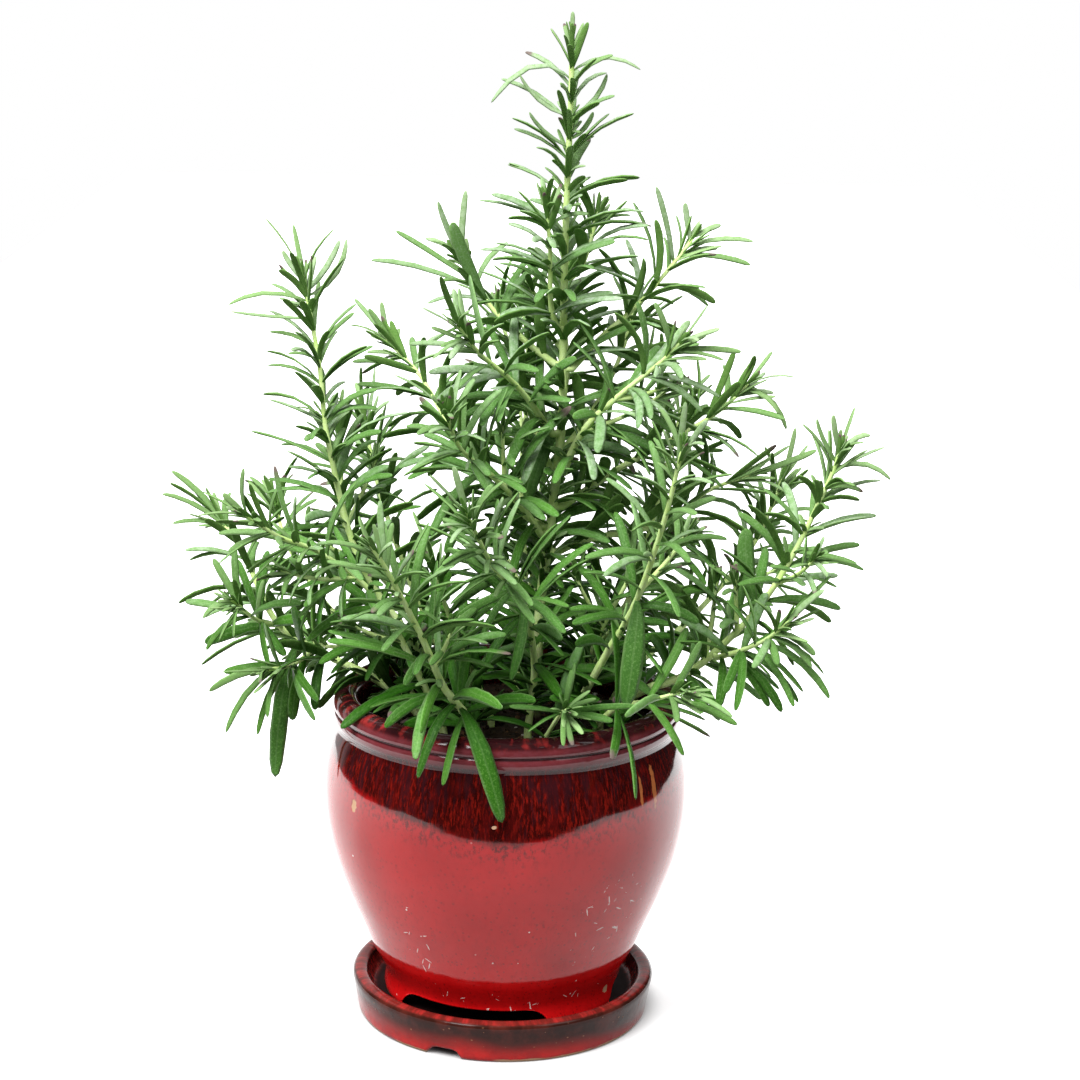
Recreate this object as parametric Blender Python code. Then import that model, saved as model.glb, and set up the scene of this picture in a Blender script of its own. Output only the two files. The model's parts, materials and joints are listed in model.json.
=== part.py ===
"""A rosemary plant in a round-bellied glazed pot that stands on three feet in its saucer.

Lengths in this file are millimetres, and a mesh is brought to metres when it is made. The pot's axis is the
Z axis, the saucer rests on Z = 0, and the front of the plant faces -Y. Each leafy stem is one object: a
tapering tube on a route of hand-chosen points, with three-sided needles that grow from it in crossed pairs.
"""

import math
import random

import bmesh
import bpy
import numpy as np
from mathutils import Vector
from mathutils.bvhtree import BVHTree

# Millimetres to metres, the gap kept between pieces that touch, and the merge distance of turned seams.
MM = 0.001
GAP = 0.3
MERGE = 0.00005
ROUND_SEGMENTS = 38

# Saucer: rim, wall and foot ring.
SAUCER_RIM_RADIUS = 63.0
SAUCER_HEIGHT = 17.6
SAUCER_RIM_WIDTH = 6.4
SAUCER_BASE_RADIUS = 60.2
SAUCER_FOOT_WIDTH = 9.5
SAUCER_FOOT_HEIGHT = 4.0
SAUCER_FLOOR_HEIGHT = 8.6
SAUCER_NOTCH_WIDTH = 15.0
SAUCER_NOTCH_HEIGHT = 3.6
SAUCER_NOTCH_TURN = -22.0

# Pot, with heights measured from the table.
FEET_BOTTOM = SAUCER_FLOOR_HEIGHT + GAP
FOOT_RADIUS = 49.8
FOOT_WALL = 8.5
ARCH_TOP = 17.6
ARCH_WIDTH = 64.0
ARCH_TURN = -16.0
UNDERSIDE = 18.6
POT_FLOOR = 26.0
DRAIN_RADIUS = 7.0
LIP_RADIUS = 71.4
LIP_BOTTOM = 127.2
LIP_MIDDLE = 133.0
LIP_ROLL_WIDTH = 5.7
LIP_ROLL_HEIGHT = 5.8
BELLY_OUTSIDE = [(69.7, 125.2), (72.6, 117.5), (74.6, 107.0), (75.0, 95.0), (73.7, 82.5), (70.6, 69.0),
                 (65.7, 55.0), (60.1, 42.0), (55.0, 30.0), (50.6, 22.0), (49.3, 17.0), (FOOT_RADIUS, 11.5)]
BELLY_INSIDE = [(40.0, POT_FLOOR + 0.5), (55.0, 45.0), (65.4, 72.0), (68.8, 96.0), (66.8, 114.0),
                (62.4, 126.0)]

# Soil, a little heaped in the middle, and the six-sided holes that the stems stand in.
SOIL_EDGE_HEIGHT = 121.5
SOIL_TOP = 124.5
SOIL_ROOM = 0.6
STEM_FOOT = SOIL_TOP - 6.0
HOLE_ROOM = 1.3
HOLE_SIDES = 6
HOLE_DEPTH = 20.0

# Stems are square in section: their corners stand out by this factor, and rings lie about this far apart.
SQUARE = 1.1
STEM_RING_SPACING = 15.0
THINNEST_STEM = 0.85

# Leaves: the size of the longest, the room kept round a leaf's middle line, where along it a needle is
# widest, the distance from one pair to the next, and the seed of every draw.
LEAF_LENGTH = 26.0
LEAF_WIDTH = 3.0
LEAF_THICKNESS = 1.3
LEAF_CLEARANCE = 1.65
NEEDLE_MIDDLE = 0.42
PAIR_SPACING = 10.2
SHORT_SHOOT = 70
SEED = 11

# Each stem: what it grows from, its radius at the foot, the share of it that is bare, and its route. A route
# from the soil starts just above it, and a route from a stem starts on that stem's middle line.
STEMS = {
    "trunk": ("soil", 4.0, 0.34, [(12, 4, 137), (13, 4, 174), (17, 4, 213), (20, 3, 250),
                                  (20, 2, 291), (20, 0, 330), (21, 0, 379), (21, 0, 404)]),
    "left_tall": ("soil", 2.3, 0.25, [(-21, 10, 130), (-43, 10, 160), (-62, 8, 191),
                                      (-74, 6, 239), (-78, 8, 272), (-85, 12, 308)]),
    "left_second": ("soil", 2.0, 0.3, [(-15, 28, 130), (-46, 29, 168), (-69, 32, 198),
                                       (-71, 36, 221), (-73, 40, 244)]),
    "front_right": ("soil", 2.3, 0.2, [(25, -21, 130), (39, -30, 162), (50, -46, 189),
                                       (59, -66, 226), (65, -80, 260)]),
    "far_right": ("soil", 2.5, 0.25, [(39, -7, 129), (56, -12, 143), (74, -18, 153),
                                      (97, -26, 179), (111, -32, 204), (124, -38, 237), (128, -42, 252)]),
    "low_right": ("soil", 1.9, 0.3, [(34, -34, 129), (43, -44, 145), (56, -58, 153),
                                      (70, -78, 164)]),
    "front": ("soil", 2.1, 0.2, [(9, -24, 130), (11, -29, 158), (6, -48, 190),
                                 (-5, -68, 208), (-16, -90, 236)]),
    "front_left": ("soil", 2.4, 0.16, [(-9, -44, 129), (-16, -56, 146), (-24, -66, 160),
                                       (-32, -80, 184), (-44, -98, 214), (-50, -106, 226)]),
    "low_left": ("soil", 2.4, 0.28, [(-37, -4, 129), (-54, -1, 142), (-75, 6, 150),
                                     (-96, 14, 161), (-112, 22, 191), (-126, 30, 206)]),
    "middle_far_left": ("soil", 2.1, 0.2, [(-27, -17, 130), (-51, -28, 182),
                                           (-72, -42, 205), (-88, -54, 215), (-101, -66, 227)]),
    "centre_left": ("soil", 2.0, 0.1, [(-7, -7, 130), (-18, -13, 158), (-25, -23, 180),
                                       (-30, -30, 200)]),
    "centre_right": ("soil", 2.0, 0.1, [(30, 8, 130), (36, 4, 158), (46, -4, 182),
                                        (54, -10, 200)]),
    "low_front": ("soil", 1.6, 0.3, [(14, -45, 128), (21, -58, 146), (24, -74, 154)]),
    "back_tall": ("soil", 2.3, 0.15, [(4, 33, 130), (6, 52, 170), (4, 66, 215),
                                      (6, 76, 258), (2, 82, 292)]),
    "back_left": ("soil", 2.2, 0.2, [(-23, 43, 130), (-42, 64, 163), (-58, 80, 203),
                                     (-66, 90, 238)]),
    "back_right": ("soil", 2.2, 0.2, [(31, 29, 130), (52, 50, 168), (64, 68, 210),
                                      (74, 78, 250)]),
    "back_far_right": ("soil", 2.2, 0.25, [(44, 17, 129), (56, 26, 144), (76, 40, 158),
                                           (102, 54, 186), (116, 60, 218)]),
    "back_low_left": ("soil", 2.2, 0.3, [(-40, 19, 129), (-53, 30, 144), (-75, 50, 155),
                                         (-96, 66, 180), (-104, 74, 204)]),
    "back_low": ("soil", 2.1, 0.25, [(5, 47, 129), (6, 57, 142), (10, 78, 155),
                                     (8, 98, 180), (14, 106, 206)]),
    "back_low_right": ("soil", 1.9, 0.3, [(28, 39, 129), (35, 49, 145), (50, 71, 156),
                                          (62, 89, 171), (66, 97, 189)]),
    "leader_left": ("trunk", 1.4, 0.12, [(20, 1, 284), (15, -5, 298), (14, -11, 322), (12, -15, 342)]),
    "leader_right": ("trunk", 1.3, 0.12, [(20, 1, 306), (28, 6, 316), (33, 12, 336)]),
    "upper_right": ("trunk", 1.6, 0.12, [(20, 2, 268), (34, 8, 283), (51, 15, 298), (68, 22, 318),
                                         (72, 24, 324)]),
    "middle_right": ("trunk", 1.9, 0.25, [(18, 3, 222), (28, -8, 248), (40, -15, 263), (58, -26, 281),
                                          (66, -32, 291)]),
    "right": ("trunk", 1.8, 0.15, [(18, 4, 213), (42, 10, 229), (63, 16, 240), (84, 22, 252),
                                   (97, 26, 264)]),
    "long_right": ("trunk", 1.8, 0.12, [(15, 4, 194), (32, 11, 200), (63, 24, 204), (81, 32, 216),
                                        (102, 39, 223)]),
    "left_behind": ("trunk", 1.7, 0.15, [(16, 4, 205), (-4, 12, 217), (-23, 26, 238), (-38, 41, 260),
                                         (-54, 55, 274)]),
    "middle_left": ("trunk", 1.7, 0.15, [(15, 4, 200), (6, -8, 216), (-5, -24, 232), (-19, -44, 249),
                                         (-25, -58, 268)]),
    "upper_left": ("trunk", 1.6, 0.12, [(20, 2, 272), (4, 8, 283), (-11, 14, 297), (-23, 20, 316)]),
    "upper_left_front": ("trunk", 1.6, 0.12, [(19, 3, 242), (3, -14, 267), (-13, -28, 284),
                                              (-21, -36, 296)]),
    "back_upper": ("trunk", 1.6, 0.12, [(20, 3, 256), (22, 18, 272), (20, 30, 292), (22, 40, 318)]),
    "back_middle": ("trunk", 1.7, 0.15, [(18, 4, 226), (10, 24, 242), (2, 42, 262), (-8, 54, 290)]),
    "back_middle_right": ("trunk", 1.7, 0.15, [(19, 3, 236), (33, 20, 252), (44, 36, 272), (50, 48, 292)]),
    "far_right_side": ("far_right", 1.4, 0.15, [(82, -20, 159), (92, -38, 168), (101, -52, 177),
                                                (109, -64, 188)]),
    "low_left_side": ("low_left", 1.4, 0.15, [(-94, 13, 160), (-102, -4, 167), (-111, -22, 181)]),
    "low_left_down": ("low_left", 1.3, 0.15, [(-80, 8, 152), (-87, -8, 150), (-97, -24, 152)]),
}

# Leaves that are placed one by one: the share of the stem where each starts, the point it bends towards, its
# tip and its width.
KEY_LEAVES = {
    "trunk": [(0.94, (6, -3, 402), (-10, -6, 378), 2.9), (0.95, (34, 2, 401), (48, 4, 391), 2.6),
        (0.89, (8, -3, 376), (1, -6, 389), 2.6), (0.89, (32, 4, 377), (35, 6, 389), 2.6),
        (0.85, (10, -6, 366), (5, -10, 375), 2.6), (0.86, (27, 5, 366), (30, 8, 374), 2.6),
        (0.99, (21, 0, 408), (21, 0, 413), 2.2)],
    "left_tall": [(0.94, (-100, 8, 304), (-114, 6, 295), 3.2), (0.91, (-97, 2, 291), (-112, -4, 294), 2.6),
        (0.96, (-75, 12, 308), (-70, 12, 321), 3.6), (0.95, (-69, 18, 303), (-68, 22, 320), 3.0),
        (0.98, (-90, 13, 310), (-93, 14, 316), 2.6)],
    "front_right": [(0.52, (51, -60, 184), (47, -62, 152), 9.0),
        (0.93, (64, -81, 264), (65, -84, 277), 2.9), (0.97, (69, -84, 265), (73, -88, 271), 2.9)],
    "far_right": [(0.55, (93, -24, 197), (94, -22, 214), 7.2),
        (0.98, (125, -44, 258), (124, -44, 265), 2.8), (0.99, (133, -43, 258), (139, -42, 257), 2.8),
        (0.94, (138, -42, 250), (148, -40, 239), 3.2), (0.89, (131, -38, 238), (138, -36, 233), 2.6),
        (0.72, (125, -35, 208), (137, -36, 204), 3.2), (0.96, (120, -42, 255), (118, -42, 263), 2.8)],
    "far_right_side": [(0.94, (113, -67, 196), (121, -68, 202), 3.2),
        (0.72, (112, -61, 180), (118, -65, 170), 3.3), (0.61, (116, -58, 174), (126, -60, 156), 3.6),
        (0.37, (106, -46, 166), (115, -50, 151), 3.3)],
    "front": [(0.53, (8, -60, 184), (2, -64, 162), 4.8), (0.97, (-18, -92, 245), (-20, -93, 253), 3.2)],
    "front_left": [(0.28, (-10, -82, 150), (0, -81, 110), 8.0),
        (0.3, (-27, -76, 152), (-33, -80, 127), 4.4),
        (0.34, (-34, -70, 159), (-46, -76, 146), 4.4), (0.25, (-1, -66, 158), (12, -73, 157), 4.4)],
    "low_left": [(0.5, (-93, -4, 146), (-95, -8, 101), 8.0), (0.41, (-79, -6, 147), (-78, -13, 132), 4.6),
        (0.9, (-127, 28, 213), (-141, 30, 221), 3.2), (0.92, (-133, 24, 212), (-144, 22, 213), 2.6),
        (0.96, (-130, 31, 211), (-134, 34, 215), 2.6), (0.66, (-116, 16, 170), (-127, 16, 162), 3.3)],
    "low_left_side": [(0.88, (-117, -22, 181), (-122, -23, 173), 3.0),
        (0.56, (-115, -12, 171), (-122, -14, 157), 3.2)],
    "low_left_down": [(0.88, (-108, -22, 152), (-120, -22, 142), 3.6),
        (0.76, (-106, -22, 146), (-113, -26, 126), 3.6), (0.59, (-98, -14, 141), (-101, -19, 123), 3.6)],
    "upper_left": [(0.95, (-22, 18, 328), (-20, 18, 341), 3.6), (0.9, (-27, 15, 324), (-31, 14, 337), 3.2),
        (0.78, (-36, 19, 318), (-48, 20, 324), 3.0), (0.72, (-40, 18, 313), (-58, 20, 312), 3.0),
        (0.62, (-20, 8, 313), (-25, 4, 330), 5.6)],
    "upper_right": [(0.81, (61, 18, 331), (56, 18, 344), 3.0), (0.96, (69, 24, 330), (68, 24, 337), 3.0),
        (0.99, (78, 26, 327), (83, 28, 328), 3.0), (0.93, (84, 24, 325), (96, 24, 322), 3.2),
        (0.86, (82, 21, 318), (95, 20, 313), 3.0)],
    "right": [(0.96, (105, 22, 261), (109, 20, 252), 3.2), (0.98, (109, 27, 258), (113, 28, 244), 3.0),
        (0.9, (93, 27, 265), (98, 30, 271), 3.0)],
    "long_right": [(0.95, (114, 39, 227), (127, 40, 233), 3.6)],
    "left_behind": [(0.94, (-55, 51, 279), (-61, 52, 287), 3.0),
        (0.98, (-55, 56, 281), (-56, 57, 289), 3.0)],
    "middle_right": [(0.98, (73, -33, 294), (80, -34, 296), 3.0),
        (0.93, (77, -28, 288), (89, -28, 286), 3.0)],
    "middle_far_left": [(0.98, (-104, -67, 231), (-108, -68, 235), 3.0)],
}


def material(name, colour, roughness, metallic=0.0):
    """A plain finish of one colour."""
    made = bpy.data.materials.new(name)
    made.use_nodes = True
    shader = made.node_tree.nodes["Principled BSDF"]
    shader.inputs["Base Color"].default_value = (*colour, 1.0)
    shader.inputs["Roughness"].default_value = roughness
    shader.inputs["Metallic"].default_value = metallic
    return made


def new_object(name, mesh, collection=None):
    """An object for the mesh, linked to the scene or to the given collection."""
    made = bpy.data.objects.new(name, mesh)
    (collection or bpy.context.scene.collection).objects.link(made)
    return made


def new_collection(name):
    """An empty collection in the scene."""
    made = bpy.data.collections.new(name)
    bpy.context.scene.collection.children.link(made)
    return made


def solid(name, points, faces, collection=None):
    """An object from points in millimetres and the faces between them."""
    mesh = bpy.data.meshes.new(name)
    mesh.from_pydata([tuple(float(value) * MM for value in point) for point in points], [], faces)
    return new_object(name, mesh, collection)


def arc(centre, radii, start, end, steps):
    """Points along part of an ellipse, with angles in degrees from +X."""
    angles = [math.radians(start + (end - start) * step / steps) for step in range(steps + 1)]
    return [(centre[0] + radii[0] * math.cos(angle), centre[1] + radii[1] * math.sin(angle))
            for angle in angles]


def smooth(points, steps):
    """Points on a smooth curve through the given points, with so many steps from each to the next."""
    ends = [np.array(point, float) for point in points]
    ends = [2 * ends[0] - ends[1], *ends, 2 * ends[-1] - ends[-2]]
    curve = []
    for before, start, end, after in zip(ends, ends[1:], ends[2:], ends[3:]):
        for step in range(steps):
            t = step / steps
            curve.append(0.5 * (2 * start + (end - before) * t
                                + (2 * before - 5 * start + 4 * end - after) * t ** 2
                                + (3 * start - before - 3 * end + after) * t ** 3))
    return [*curve, ends[-2]]


def turned(name, outline, closed, segments=ROUND_SEGMENTS):
    """A solid of revolution. The outline is (radius, height) pairs that run down the outer side."""
    edges = [(index, index + 1) for index in range(len(outline) - 1)]
    if closed:
        edges.append((len(outline) - 1, 0))
    mesh = bpy.data.meshes.new(name)
    mesh.from_pydata([(radius * MM, 0.0, height * MM) for radius, height in outline], edges, [])
    made = new_object(name, mesh)
    screw = made.modifiers.new("turn", "SCREW")
    screw.steps = segments
    screw.render_steps = segments
    screw.use_merge_vertices = True
    screw.merge_threshold = MERGE
    screw.use_smooth_shade = True
    return made


def arch_cutter(name, width, top, bottom, near, far, turn, collection):
    """A prism with a rounded top that cuts an arch through a ring, pointing out at the given turn."""
    corner = min(0.45 * width, 0.7 * (top - bottom))
    half = width / 2
    outline = [(-half, bottom), *arc((-half + corner, top - corner), (corner, corner), 180, 90, 4),
               *arc((half - corner, top - corner), (corner, corner), 90, 0, 4), (half, bottom)]
    angle = math.radians(turn)
    out = np.array([math.sin(angle), -math.cos(angle), 0.0])
    across = np.array([math.cos(angle), math.sin(angle), 0.0])
    up = np.array([0.0, 0.0, 1.0])
    rings = [[out * reach + across * side + up * height for side, height in outline] for reach in (near, far)]
    count = len(outline)
    faces = [tuple(reversed(range(count))), tuple(range(count, 2 * count))]
    faces += [(index, (index + 1) % count, count + (index + 1) % count, count + index)
              for index in range(count)]
    made = solid(name, rings[0] + rings[1], faces, collection)
    face_outwards(made.data)
    hide_cutter(made)
    return made


def face_outwards(mesh):
    """Turns all the faces of a closed mesh to point out."""
    work = bmesh.new()
    work.from_mesh(mesh)
    bmesh.ops.recalc_face_normals(work, faces=work.faces)
    work.to_mesh(mesh)
    work.free()


def hide_cutter(cutter):
    """Marks an object as a cutter, which isn't part of the model."""
    cutter.hide_render = True
    cutter.display_type = "WIRE"


def cut(target, collection):
    """Cuts all the cutters in the collection out of the target."""
    boolean = target.modifiers.new("cut", "BOOLEAN")
    boolean.operation = "DIFFERENCE"
    boolean.operand_type = "COLLECTION"
    boolean.collection = collection
    boolean.solver = "EXACT"


def make_saucer():
    """The saucer: a shallow dish with a rounded rim and a notched foot ring."""
    rim_middle = SAUCER_RIM_RADIUS - SAUCER_RIM_WIDTH / 2
    roll = (SAUCER_RIM_WIDTH / 2, 2.4)
    inner = SAUCER_RIM_RADIUS - SAUCER_RIM_WIDTH
    foot_inner = SAUCER_BASE_RADIUS - SAUCER_FOOT_WIDTH
    outline = [(0.0, SAUCER_FLOOR_HEIGHT), (inner - 5.5, SAUCER_FLOOR_HEIGHT),
               (inner - 1.8, SAUCER_FLOOR_HEIGHT + 1.6),
               *arc((rim_middle, SAUCER_HEIGHT - roll[1]), roll, 180, 0, 6),
               (SAUCER_BASE_RADIUS + 0.3, 1.2), (SAUCER_BASE_RADIUS - 0.6, 0.0), (foot_inner, 0.0),
               (foot_inner - 1.2, SAUCER_FOOT_HEIGHT), (0.0, SAUCER_FOOT_HEIGHT)]
    saucer = turned("saucer", outline, closed=False)
    notches = new_collection("saucer notches")
    for third in range(3):
        arch_cutter(f"saucer notch {third + 1}", SAUCER_NOTCH_WIDTH, SAUCER_NOTCH_HEIGHT, -3.0,
                    foot_inner - 4.0, SAUCER_RIM_RADIUS + 2.0, SAUCER_NOTCH_TURN + 120 * third, notches)
    cut(saucer, notches)
    saucer.data.materials.append(material("dark red glaze", (0.13, 0.016, 0.014), 0.22))
    return saucer


def make_pot():
    """The pot: a round belly under a rolled lip, on a foot ring that three arches cut into feet."""
    inner_foot = FOOT_RADIUS - FOOT_WALL
    lip_centre = (LIP_RADIUS - LIP_ROLL_WIDTH, LIP_MIDDLE)
    outline = [*arc(lip_centre, (LIP_ROLL_WIDTH, LIP_ROLL_HEIGHT), 180, 0, 6), (LIP_RADIUS - 0.8, LIP_BOTTOM),
               *BELLY_OUTSIDE, (FOOT_RADIUS - 0.8, FEET_BOTTOM), (inner_foot + 0.8, FEET_BOTTOM),
               (inner_foot, UNDERSIDE), (DRAIN_RADIUS, UNDERSIDE), (DRAIN_RADIUS, POT_FLOOR),
               *BELLY_INSIDE]
    pot = turned("pot", outline, closed=True)
    arches = new_collection("pot arches")
    for third in range(3):
        arch_cutter(f"pot arch {third + 1}", ARCH_WIDTH, ARCH_TOP, FEET_BOTTOM - 4.0, inner_foot * 0.55,
                    FOOT_RADIUS + 8.0, ARCH_TURN + 120 * third, arches)
    cut(pot, arches)
    pot.data.materials.append(material("red glaze", (0.36, 0.02, 0.02), 0.12))
    return pot


def make_soil(paths):
    """The soil, which fills the pot and has a plain hole for each stem that stands in it."""
    radii, heights = zip(*BELLY_INSIDE)
    edge = float(np.interp(SOIL_EDGE_HEIGHT, heights, radii)) - SOIL_ROOM
    wall = [(radius - SOIL_ROOM, height) for radius, height in BELLY_INSIDE[1:-1]]
    outline = [(0.0, SOIL_TOP), (34.0, SOIL_TOP - 0.8), (edge, SOIL_EDGE_HEIGHT), *reversed(wall),
               (radii[0] - SOIL_ROOM, heights[0] + GAP), (0.0, POT_FLOOR + GAP)]
    soil = turned("soil", outline, closed=False, segments=ROUND_SEGMENTS // 2)
    holes = new_collection("stem holes")
    for name, (parent, radius, _, _) in STEMS.items():
        if parent == "soil":
            foot = paths[name][0]
            hole = bmesh.new()
            wide = (radius * SQUARE + HOLE_ROOM) * MM
            bmesh.ops.create_cone(hole, cap_ends=True, segments=HOLE_SIDES, radius1=wide, radius2=wide,
                                  depth=HOLE_DEPTH * MM)
            mesh = bpy.data.meshes.new(f"hole for {name}")
            hole.to_mesh(mesh)
            hole.free()
            cutter = new_object(f"hole for {name}", mesh, holes)
            cutter.location = (foot[0] * MM, foot[1] * MM, (STEM_FOOT - GAP + HOLE_DEPTH / 2) * MM)
            hide_cutter(cutter)
    cut(soil, holes)
    soil.data.materials.append(material("potting soil", (0.035, 0.022, 0.014), 0.95))
    return soil


def unit(vector):
    """The vector at length 1."""
    return vector / np.linalg.norm(vector)


def evenly(points, spacing):
    """Points about so far apart along the line through the given points."""
    points = np.array(points)
    reach = np.concatenate([[0.0], np.cumsum(np.linalg.norm(np.diff(points, axis=0), axis=1))])
    count = max(2, int(round(reach[-1] / spacing)) + 1)
    where = np.linspace(0.0, reach[-1], count)
    return np.stack([np.interp(where, reach, points[:, axis]) for axis in range(3)], axis=1)


def distances(start, end, starts, ends):
    """The shortest distance from one segment to each of many."""
    along = end - start
    others = ends - starts
    apart = start - starts
    own = along @ along
    squares = np.maximum((others * others).sum(axis=1), 1e-9)
    mixed = others @ along
    down = apart @ along
    across = (others * apart).sum(axis=1)
    spread = np.maximum(own * squares - mixed ** 2, 1e-9)
    here = np.clip((mixed * across - squares * down) / spread, 0.0, 1.0)
    there = np.clip((mixed * here + across) / squares, 0.0, 1.0)
    here = np.clip((mixed * there - down) / own, 0.0, 1.0)
    return np.linalg.norm(apart + here[:, None] * along - there[:, None] * others, axis=1)


def stem_radius(name, share):
    """The stem's radius at a share of its length: it tapers fast at first, then slowly to the tip."""
    return max(THINNEST_STEM, STEMS[name][1] * (1.0 - 0.62 * share ** 0.8))


def stem_path(name, paths):
    """The stem's middle line, 1 mm apart. A branch starts just clear of the surface of what it grows from."""
    parent = STEMS[name][0]
    route = STEMS[name][3]
    if parent == "soil":
        return evenly(smooth([(route[0][0], route[0][1], STEM_FOOT), *route], 12), 1.0)
    rings = stem_rings(parent, paths[parent])
    tube = BVHTree.FromPolygons([corner for ring in rings for corner in ring], tube_faces(len(rings)))
    fine = evenly(smooth(route, 12), 0.1)
    for index in range(len(fine) - 1):
        onward = unit(fine[index + 1] - fine[index])
        reach = SQUARE * stem_radius(name, 0.0)
        rim = section(fine[index], onward, first_side(onward), reach, first_turn(name))
        border = [start + (end - start) * step / 6 for start, end in zip(rim, rim[1:] + rim[:1])
                  for step in range(6)]
        if all(height_over(tube, point) > GAP for point in border):
            return evenly(fine[index:], 1.0)
    raise ValueError(f"the route of {name} stays inside the stem that it grows from")


def height_over(tube, point):
    """How far a point is outside the surface of a tube, or a negative length inside it."""
    nearest, normal, _, distance = tube.find_nearest(Vector(point))
    return distance if (Vector(point) - nearest).dot(normal) > 0.0 else -distance


def bezier(root, bend, tip, t):
    """A point on the quadratic curve from root to tip."""
    return (1 - t) ** 2 * root + 2 * t * (1 - t) * bend + t ** 2 * tip


def clear_of_pot(point, radius):
    """Whether a ball of the given radius at the point is clear of the pot and the soil."""
    reach = math.hypot(point[0], point[1])
    height = point[2]
    if height > LIP_MIDDLE + LIP_ROLL_HEIGHT + radius + GAP:
        return True
    inside = reach < LIP_RADIUS - 2 * LIP_ROLL_WIDTH - radius - GAP
    if inside:
        return height > SOIL_TOP + radius + GAP
    rows = [(LIP_RADIUS, LIP_MIDDLE + LIP_ROLL_HEIGHT), (LIP_RADIUS, LIP_BOTTOM), *BELLY_OUTSIDE]
    wall = np.interp(height, [row[1] for row in reversed(rows)], [row[0] for row in reversed(rows)])
    return reach > wall + radius + 2 * GAP


class Grower:
    """Places leaves on stems, one after another, each clear of the other stems and their leaves."""

    def __init__(self, paths):
        self.starts = np.zeros((0, 3))
        self.ends = np.zeros((0, 3))
        self.radii = np.zeros(0)
        self.owners = np.zeros(0, int)
        self.names = list(STEMS)
        for name, path in paths.items():
            line = path[::4] if (len(path) - 1) % 4 == 0 else np.concatenate([path[::4], path[-1:]])
            shares = np.linspace(0.0, 1.0, len(line))[:-1]
            self.add(name, line, np.array([stem_radius(name, share) for share in shares]))

    def add(self, name, line, radii):
        """Keeps a line of segments that later leaves stay clear of."""
        self.starts = np.concatenate([self.starts, line[:-1]])
        self.ends = np.concatenate([self.ends, line[1:]])
        self.radii = np.concatenate([self.radii, radii])
        self.owners = np.concatenate([self.owners, np.full(len(line) - 1, self.names.index(name))])

    def fits(self, name, leaf, radius, crossing=0.2):
        """Whether a leaf is clear of the pot, of other stems and, past its root, of its own stem's leaves.

        Leaves of one stem may come nearer than their two radii by the length given as crossing.
        """
        root, bend, tip = leaf
        line = [bezier(root, bend, tip, t) for t in (0.08, 0.36, 0.68, 1.0)]
        if not all(clear_of_pot(point, radius) for point in line[1:]):
            return False
        own = self.owners == self.names.index(name)
        for index, (start, end) in enumerate(zip(line, line[1:])):
            spare = distances(start, end, self.starts, self.ends) - self.radii - radius
            if spare[~own].min() < GAP:
                return False
            if index and spare[own].min() < -crossing:
                return False
        return True

    def keep(self, name, leaf, radius):
        """Records a leaf that was placed."""
        line = np.array([bezier(*leaf, t) for t in (0.0, 0.36, 0.68, 1.0)])
        self.add(name, line, np.full(3, radius))


def leaf_length(share):
    """The length of a leaf at a share of its shoot's leafy part, over the longest."""
    return float(np.interp(share, [0.0, 0.3, 0.7, 0.93, 1.0], [0.72, 1.0, 0.92, 0.62, 0.46]))


def leaf_pair(path, frames, where, share, turn, draws, length):
    """Two leaves on opposite sides of the stem, each as its root, the point it bends towards and its tip."""
    index = min(int(where), len(path) - 2)
    onward = unit(path[index + 1] - path[index])
    first = unit(frames[index] - (frames[index] @ onward) * onward)
    second = np.cross(onward, first)
    lean = float(np.interp(share, [0.0, 0.5, 0.85, 1.0], [66.0, 54.0, 38.0, 16.0]))
    arch = float(np.interp(share, [0.0, 0.6, 1.0], [16.0, 24.0, 8.0]))
    pair = []
    for side in range(2):
        around = math.radians(turn + 180 * side + 14 * draws[3 * side])
        angle = math.radians(lean + 10 * draws[3 * side + 1])
        end_angle = angle + math.radians(arch + 12 * draws[3 * side + 2])
        out = math.cos(around) * first + math.sin(around) * second
        root = path[index] + (0.7 * side - 0.35) * onward
        start = math.cos(angle) * onward + math.sin(angle) * out
        finish = math.cos(end_angle) * onward + math.sin(end_angle) * out - np.array([0.0, 0.0, 0.22])
        bend = root + 0.5 * length * start
        pair.append((root, bend, bend + 0.5 * length * unit(finish)))
    return pair


def first_side(onward):
    """The sideways direction that a stem's frames start with."""
    return unit(np.cross(onward, np.array([0.35, 1.0, 0.2])))


def carried_frames(path):
    """A sideways direction at each point of the path, carried along without twisting."""
    onward = np.diff(path, axis=0)
    onward /= np.linalg.norm(onward, axis=1)[:, None]
    side = first_side(onward[0])
    frames = []
    for step in onward:
        side = unit(side - (side @ step) * step)
        frames.append(side)
    return frames


def first_turn(name):
    """The turn of a stem's lowest pair of leaves, and of the stem's flats."""
    return random.Random(f"{SEED} {name} turn").uniform(0.0, 90.0)


def place_key_leaves(name, path, grower):
    """The stem's leaves that are placed one by one."""
    leaves = []
    for share, bend, tip, width in KEY_LEAVES.get(name, []):
        root = path[round(share * (len(path) - 1))]
        leaf = (root, np.array(bend, float), np.array(tip, float))
        radius = max(LEAF_CLEARANCE, width / 2)
        if grower.fits(name, leaf, radius, crossing=2 * radius):
            grower.keep(name, leaf, radius)
            leaves.append((*leaf, width))
    return leaves


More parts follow.
